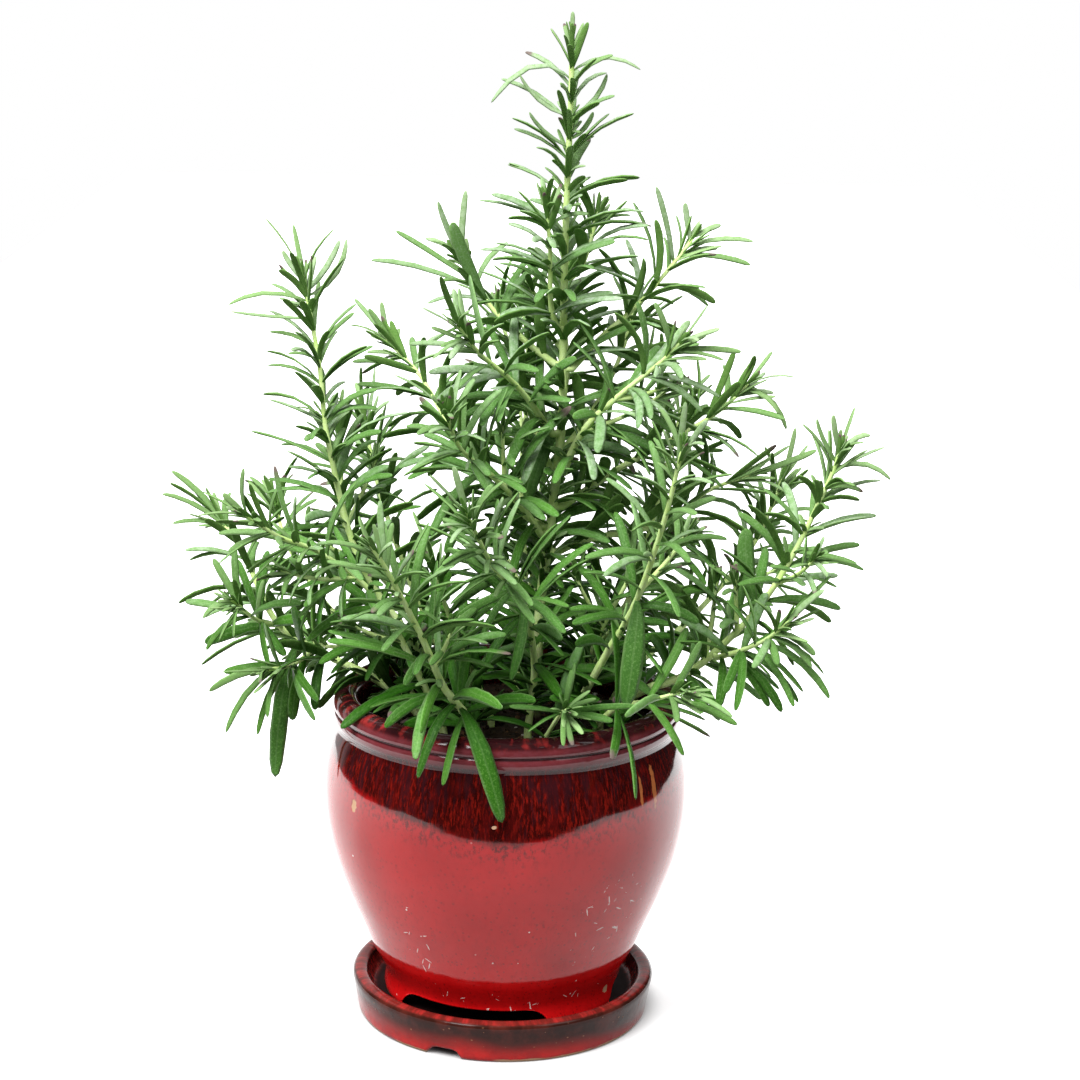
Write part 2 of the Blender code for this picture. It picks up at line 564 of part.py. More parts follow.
def grow_leaves(name, path, grower):
    """The leaves of one stem, in crossed pairs from the end of its bare part to its tip."""
    draw = random.Random(f"{SEED} {name}")
    frames = carried_frames(path)
    last = len(path) - 2
    bare = STEMS[name][2] * last
    scale = 1.0 if last > SHORT_SHOOT else 0.86
    leaves = []
    turn = first_turn(name)
    where = bare + draw.uniform(0.0, 3.0)
    while where < last + 1:
        share = (where - bare) / (last - bare)
        size = LEAF_LENGTH * scale * leaf_length(share)
        draws = [draw.uniform(-1.0, 1.0) for _ in range(6)]
        sizes = [draw.uniform(0.86, 1.14) for _ in range(2)]
        for side in range(2):
            for change in (0, 16, -16, 32, -32, 50, -50):
                shrink = 1.0 - 0.004 * abs(change)
                length = size * sizes[side] * shrink
                pair = leaf_pair(path, frames, where, share, turn + change, draws, length)
                if grower.fits(name, pair[side], LEAF_CLEARANCE):
                    grower.keep(name, pair[side], LEAF_CLEARANCE)
                    leaves.append((*pair[side], LEAF_WIDTH * (0.82 + 0.3 * sizes[side] - 0.2 * share)))
                    break
        turn += 90.0
        where += PAIR_SPACING * (1.0 - 0.38 * share)
    return leaves


def needle(leaf, onward, origin, collection):
    """A three-sided needle along the leaf, as a closed solid with its pointed root sunk in the stem."""
    root, bend, tip, width = leaf
    across = unit(np.cross(tip - root, onward))
    middle = bezier(root, bend, tip, NEEDLE_MIDDLE)
    up = unit(np.cross(across, tip - root))
    half = across * width / 2
    points = [root, middle + half + 0.3 * up, middle - half + 0.3 * up, middle - LEAF_THICKNESS * up, tip]
    faces = [(0, 1, 2), (0, 2, 3), (0, 3, 1), (4, 2, 1), (4, 3, 2), (4, 1, 3)]
    made = solid("needle", [point - origin for point in points], faces, collection)
    face_outwards(made.data)
    return made


def section(middle, onward, side, reach, turn):
    """The four corners of a square section, so far from its middle, turned by degrees about the stem."""
    corners = []
    for corner in range(4):
        around = math.radians(turn + 45 + 90 * corner)
        corners.append(middle + reach * (math.cos(around) * side + math.sin(around) * np.cross(onward, side)))
    return corners


def stem_rings(name, path):
    """The sections of the stem: square, as in the mint family, with flats that face its leaves."""
    frames = carried_frames(path)
    count = max(3, round(len(path) / STEM_RING_SPACING))
    rings = []
    for step in range(count + 1):
        share = step / count
        index = min(round(share * (len(path) - 1)), len(path) - 2)
        onward = unit(path[index + 1] - path[index])
        middle = path[-1] if step == count else path[index]
        reach = SQUARE * stem_radius(name, share)
        rings.append(section(middle, onward, frames[index], reach, first_turn(name)))
    return rings


def tube_faces(count):
    """The faces of a closed tube through so many square sections, as indices of their corners."""
    faces = [(3, 2, 1, 0), tuple(range(4 * count - 4, 4 * count))]
    for ring in range(0, 4 * count - 4, 4):
        for corner in range(4):
            after = (corner + 1) % 4
            faces.append((ring + corner, ring + after, ring + 4 + after, ring + 4 + corner))
    return faces


def largest_body(mesh):
    """Keeps the mesh's largest connected body and drops loose scraps."""
    work = bmesh.new()
    work.from_mesh(mesh)
    left = set(work.verts)
    bodies = []
    while left:
        body = set()
        edge = [left.pop()]
        while edge:
            vertex = edge.pop()
            body.add(vertex)
            near = {link.other_vert(vertex) for link in vertex.link_edges} & left
            left -= near
            edge.extend(near)
        bodies.append(body)
    bodies.sort(key=len)
    scraps = [vertex for body in bodies[:-1] for vertex in body]
    bmesh.ops.delete(work, geom=scraps, context="VERTS")
    work.to_mesh(mesh)
    work.free()


def make_stem(name, path, leaves):
    """One leafy stem: its tube and all its needles, joined into a single body by one union."""
    origin = path[0]
    rings = stem_rings(name, path)
    stem = solid(name, [corner - origin for ring in rings for corner in ring], tube_faces(len(rings)))
    needles = new_collection(f"{name} needles")
    for leaf in leaves:
        index = int(np.argmin(np.linalg.norm(path[:-1] - leaf[0], axis=1)))
        needle(leaf, path[index + 1] - path[index], origin, needles)
    union = stem.modifiers.new("join", "BOOLEAN")
    union.operation = "UNION"
    union.operand_type = "COLLECTION"
    union.collection = needles
    union.solver = "MANIFOLD"
    bpy.context.view_layer.update()
    joined = bpy.data.meshes.new_from_object(stem.evaluated_get(bpy.context.evaluated_depsgraph_get()))
    stem.modifiers.clear()
    for made in list(needles.objects):
        bpy.data.objects.remove(made)
    bpy.data.collections.remove(needles)
    stem.data = joined
    largest_body(joined)
    stem.location = Vector(origin) * MM
    return stem


def main():
    """Builds the saucer, the pot, the soil and every stem."""
    for left_over in list(bpy.data.objects):
        bpy.data.objects.remove(left_over)
    make_saucer()
    make_pot()
    paths = {}
    for name in STEMS:
        paths[name] = stem_path(name, paths)
    make_soil(paths)
    grower = Grower(paths)
    green = [(0.075, 0.2, 0.05), (0.09, 0.23, 0.06), (0.065, 0.18, 0.055)]
    leaves = {name: place_key_leaves(name, paths[name], grower) for name in STEMS}
    for index, name in enumerate(STEMS):
        leaves[name] += grow_leaves(name, paths[name], grower)
        stem = make_stem(name, paths[name], leaves[name])
        stem.data.materials.append(material(f"rosemary {name}", green[index % 3], 0.6))


main()
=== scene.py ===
"""The look of a rosemary plant in its red glazed pot and saucer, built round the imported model.

Lengths are millimetres, and a mesh is brought to metres when it is made. The pot's axis is the Z axis, the
saucer stands on Z = 0 and the front of the plant faces -Y. The shoots follow the same routes and the same
growth rule as the solids, and the leaves that the solids have come first, in the same places.
"""

import json
import logging
import math
import random
from collections.abc import Callable, Sequence
from dataclasses import dataclass, field, replace
from enum import Enum
from functools import reduce

import bmesh
import bpy
import numpy as np
from mathutils import Matrix, Vector, noise
from mathutils.bvhtree import BVHTree

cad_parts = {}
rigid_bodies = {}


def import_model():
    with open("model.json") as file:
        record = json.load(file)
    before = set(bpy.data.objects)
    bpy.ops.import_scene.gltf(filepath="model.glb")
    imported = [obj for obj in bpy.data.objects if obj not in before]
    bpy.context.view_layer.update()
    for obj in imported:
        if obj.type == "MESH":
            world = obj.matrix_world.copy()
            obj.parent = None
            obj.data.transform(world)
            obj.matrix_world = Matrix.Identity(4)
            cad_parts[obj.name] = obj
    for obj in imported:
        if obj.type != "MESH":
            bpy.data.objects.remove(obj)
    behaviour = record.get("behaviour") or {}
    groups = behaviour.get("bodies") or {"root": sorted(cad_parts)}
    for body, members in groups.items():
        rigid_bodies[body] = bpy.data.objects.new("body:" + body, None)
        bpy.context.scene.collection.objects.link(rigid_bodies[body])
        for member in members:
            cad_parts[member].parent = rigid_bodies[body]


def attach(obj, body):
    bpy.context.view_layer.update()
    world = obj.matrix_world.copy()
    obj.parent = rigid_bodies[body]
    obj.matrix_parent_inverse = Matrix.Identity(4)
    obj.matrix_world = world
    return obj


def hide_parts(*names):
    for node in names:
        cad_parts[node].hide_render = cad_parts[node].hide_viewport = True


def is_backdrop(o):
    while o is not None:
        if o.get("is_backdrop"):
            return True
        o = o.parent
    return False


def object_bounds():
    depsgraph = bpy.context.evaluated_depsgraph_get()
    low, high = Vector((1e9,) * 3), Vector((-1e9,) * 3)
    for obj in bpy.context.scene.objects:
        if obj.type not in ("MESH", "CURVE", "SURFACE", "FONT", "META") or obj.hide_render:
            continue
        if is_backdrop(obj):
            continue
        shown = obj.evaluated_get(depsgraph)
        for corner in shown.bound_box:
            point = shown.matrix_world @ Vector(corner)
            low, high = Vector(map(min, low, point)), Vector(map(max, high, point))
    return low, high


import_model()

LOG = logging.getLogger("rosemary")
MM = 0.001
BODY = "root"

# The patterns on a thrown piece lie as if its wall were this far from the axis at every height, in metres.
WHEEL_RADIUS = 0.07

Piece = bpy.types.Object
Points = np.ndarray

# The middle line of a leaf or a sprig: its root, the point that it bends towards and its tip, in mm.
Curve = tuple[Points, Points, Points]
Outline = list[tuple[float, float]]
Colour = tuple[float, float, float]
Sockets = dict[str | int, object]

# Each shoot: what it grows from, its radius at the foot, the share of it that is bare, and its route, in mm.
SHOOTS: dict[str, tuple] = {
    "trunk": ("soil", 4.0, 0.34, [(12, 4, 137), (13, 4, 174), (17, 4, 213), (20, 3, 250), (20, 2, 291),
        (20, 0, 330), (21, 0, 379), (21, 0, 404)]),
    "left_tall": ("soil", 2.3, 0.25, [(-21, 10, 130), (-43, 10, 160), (-62, 8, 191), (-74, 6, 239),
        (-78, 8, 272), (-85, 12, 308)]),
    "left_second": ("soil", 2.0, 0.3, [(-15, 28, 130), (-46, 29, 168), (-69, 32, 198), (-71, 36, 221),
        (-73, 40, 244)]),
    "front_right": ("soil", 2.3, 0.2, [(25, -21, 130), (39, -30, 162), (50, -46, 189), (59, -66, 226),
        (65, -80, 260)]),
    "far_right": ("soil", 2.5, 0.25, [(39, -7, 129), (56, -12, 143), (74, -18, 153), (97, -26, 179),
        (111, -32, 204), (124, -38, 237), (128, -42, 252)]),
    "low_right": ("soil", 1.9, 0.3, [(34, -34, 129), (43, -44, 145), (56, -58, 153), (70, -78, 164)]),
    "front": ("soil", 2.1, 0.2, [(9, -24, 130), (11, -29, 158), (6, -48, 190), (-5, -68, 208),
        (-16, -90, 236)]),
    "front_left": ("soil", 2.4, 0.16, [(-9, -44, 129), (-16, -56, 146), (-24, -66, 160), (-32, -80, 184),
        (-44, -98, 214), (-50, -106, 226)]),
    "low_left": ("soil", 2.4, 0.28, [(-37, -4, 129), (-54, -1, 142), (-75, 6, 150), (-96, 14, 161),
        (-112, 22, 191), (-126, 30, 206)]),
    "middle_far_left": ("soil", 2.1, 0.2, [(-27, -17, 130), (-51, -28, 182), (-72, -42, 205), (-88, -54, 215),
        (-101, -66, 227)]),
    "centre_left": ("soil", 2.0, 0.1, [(-7, -7, 130), (-18, -13, 158), (-25, -23, 180), (-30, -30, 200)]),
    "centre_right": ("soil", 2.0, 0.1, [(30, 8, 130), (36, 4, 158), (46, -4, 182), (54, -10, 200)]),
    "low_front": ("soil", 1.6, 0.3, [(14, -45, 128), (21, -58, 146), (24, -74, 154)]),
    "back_tall": ("soil", 2.3, 0.15, [(4, 33, 130), (6, 52, 170), (4, 66, 215), (6, 76, 258), (2, 82, 292)]),
    "back_left": ("soil", 2.2, 0.2, [(-23, 43, 130), (-42, 64, 163), (-58, 80, 203), (-66, 90, 238)]),
    "back_right": ("soil", 2.2, 0.2, [(31, 29, 130), (52, 50, 168), (64, 68, 210), (74, 78, 250)]),
    "back_far_right": ("soil", 2.2, 0.25, [(44, 17, 129), (56, 26, 144), (76, 40, 158), (102, 54, 186),
        (116, 60, 218)]),
    "back_low_left": ("soil", 2.2, 0.3, [(-40, 19, 129), (-53, 30, 144), (-75, 50, 155), (-96, 66, 180),
        (-104, 74, 204)]),
    "back_low": ("soil", 2.1, 0.25, [(5, 47, 129), (6, 57, 142), (10, 78, 155), (8, 98, 180),
        (14, 106, 206)]),
    "back_low_right": ("soil", 1.9, 0.3, [(28, 39, 129), (35, 49, 145), (50, 71, 156), (62, 89, 171),
        (66, 97, 189)]),
    "leader_left": ("trunk", 1.4, 0.12, [(20, 1, 284), (15, -5, 298), (14, -11, 322), (12, -15, 342)]),
    "leader_right": ("trunk", 1.3, 0.12, [(20, 1, 306), (28, 6, 316), (33, 12, 336)]),
    "upper_right": ("trunk", 1.6, 0.12, [(20, 2, 268), (34, 8, 283), (51, 15, 298), (68, 22, 318),
        (72, 24, 324)]),
    "middle_right": ("trunk", 1.9, 0.25, [(18, 3, 222), (28, -8, 248), (40, -15, 263), (58, -26, 281),
        (66, -32, 291)]),
    "right": ("trunk", 1.8, 0.15, [(18, 4, 213), (42, 10, 229), (63, 16, 240), (84, 22, 252), (97, 26, 264)]),
    "long_right": ("trunk", 1.8, 0.12, [(15, 4, 194), (32, 11, 200), (63, 24, 204), (81, 32, 216),
        (102, 39, 223)]),
    "left_behind": ("trunk", 1.7, 0.15, [(16, 4, 205), (-4, 12, 217), (-23, 26, 238), (-38, 41, 260),
        (-54, 55, 274)]),
    "middle_left": ("trunk", 1.7, 0.15, [(15, 4, 200), (6, -8, 216), (-5, -24, 232), (-19, -44, 249),
        (-25, -58, 268)]),
    "upper_left": ("trunk", 1.6, 0.12, [(20, 2, 272), (4, 8, 283), (-11, 14, 297), (-23, 20, 316)]),
    "upper_left_front": ("trunk", 1.6, 0.12, [(19, 3, 242), (3, -14, 267), (-13, -28, 284), (-21, -36, 296)]),
    "back_upper": ("trunk", 1.6, 0.12, [(20, 3, 256), (22, 18, 272), (20, 30, 292), (22, 40, 318)]),
    "back_middle": ("trunk", 1.7, 0.15, [(18, 4, 226), (10, 24, 242), (2, 42, 262), (-8, 54, 290)]),
    "back_middle_right": ("trunk", 1.7, 0.15, [(19, 3, 236), (33, 20, 252), (44, 36, 272), (50, 48, 292)]),
    "far_right_side": ("far_right", 1.4, 0.15, [(82, -20, 159), (92, -38, 168), (101, -52, 177),
        (109, -64, 188)]),
    "low_left_side": ("low_left", 1.4, 0.15, [(-94, 13, 160), (-102, -4, 167), (-111, -22, 181)]),
    "low_left_down": ("low_left", 1.3, 0.15, [(-80, 8, 152), (-87, -8, 150), (-97, -24, 152)]),
}

# Leaves that are placed one by one: the share of the stem where each starts, the point it bends towards, its
# tip and its width.
KEY_LEAVES: dict[str, list] = {
    "trunk": [(0.94, (6, -3, 402), (-10, -6, 378), 2.9), (0.95, (34, 2, 401), (48, 4, 391), 2.6),
        (0.89, (8, -3, 376), (1, -6, 389), 2.6), (0.89, (32, 4, 377), (35, 6, 389), 2.6),
        (0.85, (10, -6, 366), (5, -10, 375), 2.6), (0.86, (27, 5, 366), (30, 8, 374), 2.6),
        (0.99, (21, 0, 408), (21, 0, 413), 2.2)],
    "left_tall": [(0.94, (-100, 8, 304), (-114, 6, 295), 3.2), (0.91, (-97, 2, 291), (-112, -4, 294), 2.6),
        (0.96, (-75, 12, 308), (-70, 12, 321), 3.6), (0.95, (-69, 18, 303), (-68, 22, 320), 3.0),
        (0.98, (-90, 13, 310), (-93, 14, 316), 2.6)],
    "front_right": [(0.52, (51, -60, 184), (47, -62, 152), 9.0), (0.93, (64, -81, 264), (65, -84, 277), 2.9),
        (0.97, (69, -84, 265), (73, -88, 271), 2.9)],
    "far_right": [(0.55, (93, -24, 197), (94, -22, 214), 7.2), (0.98, (125, -44, 258), (124, -44, 265), 2.8),
        (0.99, (133, -43, 258), (139, -42, 257), 2.8), (0.94, (138, -42, 250), (148, -40, 239), 3.2),
        (0.89, (131, -38, 238), (138, -36, 233), 2.6), (0.72, (125, -35, 208), (137, -36, 204), 3.2),
        (0.96, (120, -42, 255), (118, -42, 263), 2.8)],
    "far_right_side": [(0.94, (113, -67, 196), (121, -68, 202), 3.2),
        (0.72, (112, -61, 180), (118, -65, 170), 3.3), (0.61, (116, -58, 174), (126, -60, 156), 3.6),
        (0.37, (106, -46, 166), (115, -50, 151), 3.3)],
    "front": [(0.53, (8, -60, 184), (2, -64, 162), 4.8), (0.97, (-18, -92, 245), (-20, -93, 253), 3.2)],
    "front_left": [(0.28, (-10, -82, 150), (0, -81, 110), 8.0), (0.3, (-27, -76, 152), (-33, -80, 127), 4.4),
        (0.34, (-34, -70, 159), (-46, -76, 146), 4.4), (0.25, (-1, -66, 158), (12, -73, 157), 4.4)],
    "low_left": [(0.5, (-93, -4, 146), (-95, -8, 101), 8.0), (0.41, (-79, -6, 147), (-78, -13, 132), 4.6),
        (0.9, (-127, 28, 213), (-141, 30, 221), 3.2), (0.92, (-133, 24, 212), (-144, 22, 213), 2.6),
        (0.96, (-130, 31, 211), (-134, 34, 215), 2.6), (0.66, (-116, 16, 170), (-127, 16, 162), 3.3)],
    "low_left_side": [(0.88, (-117, -22, 181), (-122, -23, 173), 3.0),
        (0.56, (-115, -12, 171), (-122, -14, 157), 3.2)],
    "low_left_down": [(0.88, (-108, -22, 152), (-120, -22, 142), 3.6),
        (0.76, (-106, -22, 146), (-113, -26, 126), 3.6), (0.59, (-98, -14, 141), (-101, -19, 123), 3.6)],
    "upper_left": [(0.95, (-22, 18, 328), (-20, 18, 341), 3.6), (0.9, (-27, 15, 324), (-31, 14, 337), 3.2),
        (0.78, (-36, 19, 318), (-48, 20, 324), 3.0), (0.72, (-40, 18, 313), (-58, 20, 312), 3.0),
        (0.62, (-20, 8, 313), (-25, 4, 330), 5.6)],
    "upper_right": [(0.81, (61, 18, 331), (56, 18, 344), 3.0), (0.96, (69, 24, 330), (68, 24, 337), 3.0),
        (0.99, (78, 26, 327), (83, 28, 328), 3.0), (0.93, (84, 24, 325), (96, 24, 322), 3.2),
        (0.86, (82, 21, 318), (95, 20, 313), 3.0)],
    "right": [(0.96, (105, 22, 261), (109, 20, 252), 3.2), (0.98, (109, 27, 258), (113, 28, 244), 3.0),
        (0.9, (93, 27, 265), (98, 30, 271), 3.0)],
    "long_right": [(0.95, (114, 39, 227), (127, 40, 233), 3.6)],
    "left_behind": [(0.94, (-55, 51, 279), (-61, 52, 287), 3.0), (0.98, (-55, 56, 281), (-56, 57, 289), 3.0)],
    "middle_right": [(0.98, (73, -33, 294), (80, -34, 296), 3.0),
        (0.93, (77, -28, 288), (89, -28, 286), 3.0)],
    "middle_far_left": [(0.98, (-104, -67, 231), (-108, -68, 235), 3.0)],
}


class Bench:
    """The steps of modelling that all the pieces share, done with Blender's own operators."""

    @staticmethod
    def clear() -> None:
        """Leaves edit mode and deselects everything."""
        if bpy.context.mode != "OBJECT":
            bpy.ops.object.mode_set(mode="OBJECT")
        bpy.ops.object.select_all(action="DESELECT")

    @staticmethod
    def hold(piece: Piece) -> None:
        """Makes one object the active one, and the only one selected.

        Args:
            piece: The object.
        """
        Bench.clear()
        piece.select_set(True)
        bpy.context.view_layer.objects.active = piece

    @staticmethod
    def start(name: str) -> Piece:
        """Names the primitive that was just added and opens it in edit mode with all of it selected.

        Args:
            name: The piece's name.

        Returns:
            The piece.
        """
        piece = bpy.context.active_object
        piece.name = name
        piece.data.name = name
        bpy.ops.object.mode_set(mode="EDIT")
        bpy.ops.mesh.select_mode(type="VERT")
        bpy.ops.mesh.select_all(action="SELECT")
        return piece

    @staticmethod
    def pick(piece: Piece, wanted: Callable[[Vector], bool]) -> None:
        """Selects, in edit mode, only the points whose place passes a test.

        Args:
            piece: The object in edit mode.
            wanted: The test of a point's place in metres.
        """
        bpy.ops.mesh.select_all(action="DESELECT")
        work = bmesh.from_edit_mesh(piece.data)
        for point in work.verts:
            point.select = wanted(point.co)
        work.select_flush_mode()
        bmesh.update_edit_mesh(piece.data)

    @staticmethod
    def close() -> None:
        """Turns all the faces of the piece in edit mode outwards and leaves edit mode."""
        bpy.ops.mesh.select_all(action="SELECT")
        bpy.ops.mesh.normals_make_consistent(inside=False)
        bpy.ops.object.mode_set(mode="OBJECT")

    @staticmethod
    def throw(name: str, outline: Outline, segments: int, ring: bool) -> Piece:
        """Draws a wall up from a circle, as clay is drawn on the wheel.

        Args:
            name: The piece's name.
            outline: Its (radius, height) points in mm, from the underside out, up the outside and in again.
            segments: How many points there are round the axis.
            ring: Whether the wall closes on its own start, round a hole. If not, both ends close on the axis.

        Returns:
            The piece, a closed mesh in object mode.
        """
        Bench.clear()
        radius, height = outline[0]
        bpy.ops.mesh.primitive_circle_add(vertices=segments, radius=radius * MM, location=(0, 0, height * MM),
                                          fill_type="NOTHING" if ring else "TRIFAN")
        piece = Bench.start(name)
        bpy.ops.object.mode_set(mode="OBJECT")
        bpy.ops.object.transform_apply(location=True)
        bpy.ops.object.mode_set(mode="EDIT")
        Bench.pick(piece, lambda place: math.hypot(place.x, place.y) > 0.5 * radius * MM)
        for (before, low), (after, high) in zip(outline, outline[1:]):
            bpy.ops.mesh.extrude_edges_move(TRANSFORM_OT_translate={"value": (0, 0, (high - low) * MM)})
            bpy.ops.transform.resize(value=(after / before, after / before, 1), center_override=(0, 0, 0))
        if ring:
            ends = [(reach * MM, level * MM) for reach, level in (outline[0], outline[-1])]
            Bench.pick(piece, lambda place: any(
                abs(math.hypot(place.x, place.y) - reach) < 1e-6 and abs(place.z - level) < 1e-6
                for reach, level in ends))
            bpy.ops.mesh.bridge_edge_loops()
        else:
            bpy.ops.mesh.merge(type="CENTER")
        Bench.close()
        bpy.ops.object.shade_smooth_by_angle(angle=math.radians(60))
        return piece

    @staticmethod
    def reshape(piece: Piece, move: Callable[[Points], Points]) -> None:
        """Moves all the points of a piece at once.

        Args:
            piece: The object, in object mode.
            move: Takes the points in mm, one row each, and returns their new places.
        """
        points = np.empty(len(piece.data.vertices) * 3)
        piece.data.vertices.foreach_get("co", points)
        moved = move(points.reshape(-1, 3) / MM) * MM
        piece.data.vertices.foreach_set("co", moved.ravel())
        piece.data.update()

    @staticmethod
    def weld(piece: Piece) -> None:
        """Merges points that a reshaping has laid on each other.

        Args:
            piece: The object, in object mode.
        """
        Bench.hold(piece)
        bpy.ops.object.mode_set(mode="EDIT")
        bpy.ops.mesh.select_all(action="SELECT")
        bpy.ops.mesh.remove_doubles(threshold=0.02 * MM)
        bpy.ops.object.mode_set(mode="OBJECT")

    @staticmethod
    def pattern(piece: Piece) -> tuple[Points, list[tuple[int, ...]]]:
        """Takes a modelled shape off the bench, to make copies from.

        Args:
            piece: The object, in object mode.

        Returns:
            Its points and its faces.
        """
        points = np.array([tuple(point.co) for point in piece.data.vertices])
        faces = [tuple(face.vertices) for face in piece.data.polygons]
        bpy.data.objects.remove(piece)
        return points, faces

    @staticmethod
    def copies(name: str, places: Sequence[Points], faces: Sequence[tuple[int, ...]]) -> Piece:
        """Makes one mesh of many copies of a shape.

        Args:
            name: The mesh's name.
            places: The points of each copy in mm.
            faces: The faces of one copy.

        Returns:
            The object.
        """
        count = len(places[0])
        corners = [tuple(corner + count * index for corner in face) for index in range(len(places))
                   for face in faces]
        mesh = bpy.data.meshes.new(name)
        mesh.from_pydata(np.concatenate(places) * MM, [], corners)
        return Bench.show(name, mesh)

    @staticmethod
    def show(name: str, data: bpy.types.ID) -> Piece:
        """Puts new data into the scene.

        Args:
            name: The object's name.
            data: The mesh, curve, light or camera.

        Returns:
            The object that holds it.
        """
        made = bpy.data.objects.new(name, data)
        bpy.context.scene.collection.objects.link(made)
        return made

    @staticmethod
    def join(pieces: Sequence[Piece]) -> Piece:
        """Joins objects into the first of them.

        Args:
            pieces: The objects.

        Returns:
            The first of them, with all the others in it.
        """
        Bench.hold(pieces[0])
        for piece in pieces:
            piece.select_set(True)
        bpy.ops.object.join()
        return pieces[0]

    @staticmethod
    def deliver(piece: Piece, nodes: Sequence[str], slot: str) -> None:
        """Sets a finished piece in the frame, in the place of the solids that it stands for.

        Args:
            piece: The piece.
            nodes: The names of the solids.
            slot: The record's material slot; not used.
        """
        Bench.clear()
        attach(piece, BODY)
        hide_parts(*nodes)
        LOG.info("%s: %d faces, for %s", piece.name, len(piece.data.polygons), ", ".join(nodes))


def arc(centre: tuple[float, float], radii: tuple[float, float], start: float, end: float,
        steps: int) -> Outline:
    """Points along part of an ellipse, with angles in degrees from the first axis."""
    angles = [math.radians(start + (end - start) * step / steps) for step in range(steps + 1)]
    return [(centre[0] + radii[0] * math.cos(angle), centre[1] + radii[1] * math.sin(angle))
            for angle in angles]


def smooth(points: Sequence[Sequence[float]], steps: int) -> list[Points]:
    """Draws a smooth curve through points.

    Args:
        points: The points that it goes through.
        steps: How many steps it takes from each to the next.

    Returns:
        The points of the curve.
    """
    ends = [np.array(point, float) for point in points]
    ends = [2 * ends[0] - ends[1], *ends, 2 * ends[-1] - ends[-2]]
    curve = []
    for before, start, end, after in zip(ends, ends[1:], ends[2:], ends[3:]):
        for step in range(steps):
            t = step / steps
            curve.append(0.5 * (2 * start + (end - before) * t
                                + (2 * before - 5 * start + 4 * end - after) * t ** 2
                                + (3 * start - before - 3 * end + after) * t ** 3))
    return [*curve, ends[-2]]


def curved(points: Outline, steps: int) -> Outline:
    """The smooth curve through points of an outline."""
    return [(float(reach), float(level)) for reach, level in smooth(points, steps)]


def hand_made(points: Points, swell: float, rings: float, seed: float) -> Points:
    """The small unevenness of a piece that was thrown by hand.

    Args:
        points: The points in mm.
        swell: How far the wall wanders in and out, in mm.
        rings: The height of the ridges that the fingers left, in mm.
        seed: Where in the noise the pattern lies.

    Returns:
        The points, moved towards the axis or away from it.
    """
    moved = points.copy()
    for index, (x, y, z) in enumerate(points):
        reach = math.hypot(x, y)
        if reach > 12.0:
            turn = Vector((x / reach * 1.1, y / reach * 1.1, z / 46.0 + seed))
            ridge = math.sin(z * 0.9 + 1.4 * noise.noise(turn * 2.0))
            moved[index, :2] *= 1.0 + (swell * noise.noise(turn) + rings * ridge) / reach
    return moved


class Signal:
    """What one output of a shader node gives. Sums on it add the nodes that work them out."""

    def __init__(self, graph: "Graph", socket: bpy.types.NodeSocket) -> None:
        """Keeps the output and the graph that it is in."""
        self.graph = graph
        self.socket = socket

    def __add__(self, other: "Signal | float") -> "Signal":
        """The sum of two values."""
        return self.math("ADD", other)

    def __sub__(self, other: "Signal | float") -> "Signal":
        """One value less another."""
        return self.math("SUBTRACT", other)

    def __mul__(self, other: "Signal | float") -> "Signal":
        """The product of two values."""
        return self.math("MULTIPLY", other)

    def math(self, operation: str, other: "Signal | float" = 0.0) -> "Signal":
        """The result of any sum on one or two values."""
        return self.graph.node("Math", {0: self, 1: other}, operation=operation)

    def most(self, other: "Signal | float") -> "Signal":
        """The greater of two values."""
        return self.math("MAXIMUM", other)

    def step(self, low: float, high: float, start: float = 0.0, end: float = 1.0) -> "Signal":
        """A soft step from start to end as the value goes from low to high."""
        ends = {"Value": self, "From Min": low, "From Max": high, "To Min": start, "To Max": end}
        return self.graph.node("MapRange", ends, interpolation_type="SMOOTHSTEP")

    def mix(self, low: "Signal | Colour", high: "Signal | Colour") -> "Signal":
        """A colour between two, with the value as the mask."""
        ends = [(*colour, 1.0) if isinstance(colour, tuple) else colour for colour in (low, high)]
        return self.graph.node("Mix", {0: self, 6: ends[0], 7: ends[1]}, output=2, data_type="RGBA")

    def noise(self, scale: float, detail: float = 2.0, roughness: float = 0.5) -> "Signal":
        """Soft noise between 0 and 1 at a place, with so many bumps to the metre."""
        sockets = {"Vector": self, "Scale": scale, "Detail": detail, "Roughness": roughness}
        return self.graph.node("TexNoise", sockets)

    def squeeze(self, scale: Sequence[float], turn: Sequence[float] = (0, 0, 0)) -> "Signal":
        """A place scaled along each axis after a turn, so that a pattern on it stretches."""
        sockets = {"Vector": self, "Scale": [1.0 / factor for factor in scale], "Rotation": turn}
        return self.graph.node("Mapping", sockets, vector_type="TEXTURE")

    def vector(self, operation: str, *others: "Signal | Sequence[float]") -> "Signal":
        """The result of a sum on one or two vectors."""
        return self.graph.node("VectorMath", dict(enumerate((self, *others))), operation=operation)

    def length(self) -> "Signal":
        """The length of a vector."""
        return self.vector("LENGTH").other("Value")

    def split(self) -> list["Signal"]:
        """The three parts of a vector."""
        parts = self.graph.node("SeparateXYZ", {0: self})
        return [parts.other(axis) for axis in "XYZ"]

    def other(self, title: str) -> "Signal":
        """What another output of the same node gives."""
        return Signal(self.graph, self.socket.node.outputs[title])


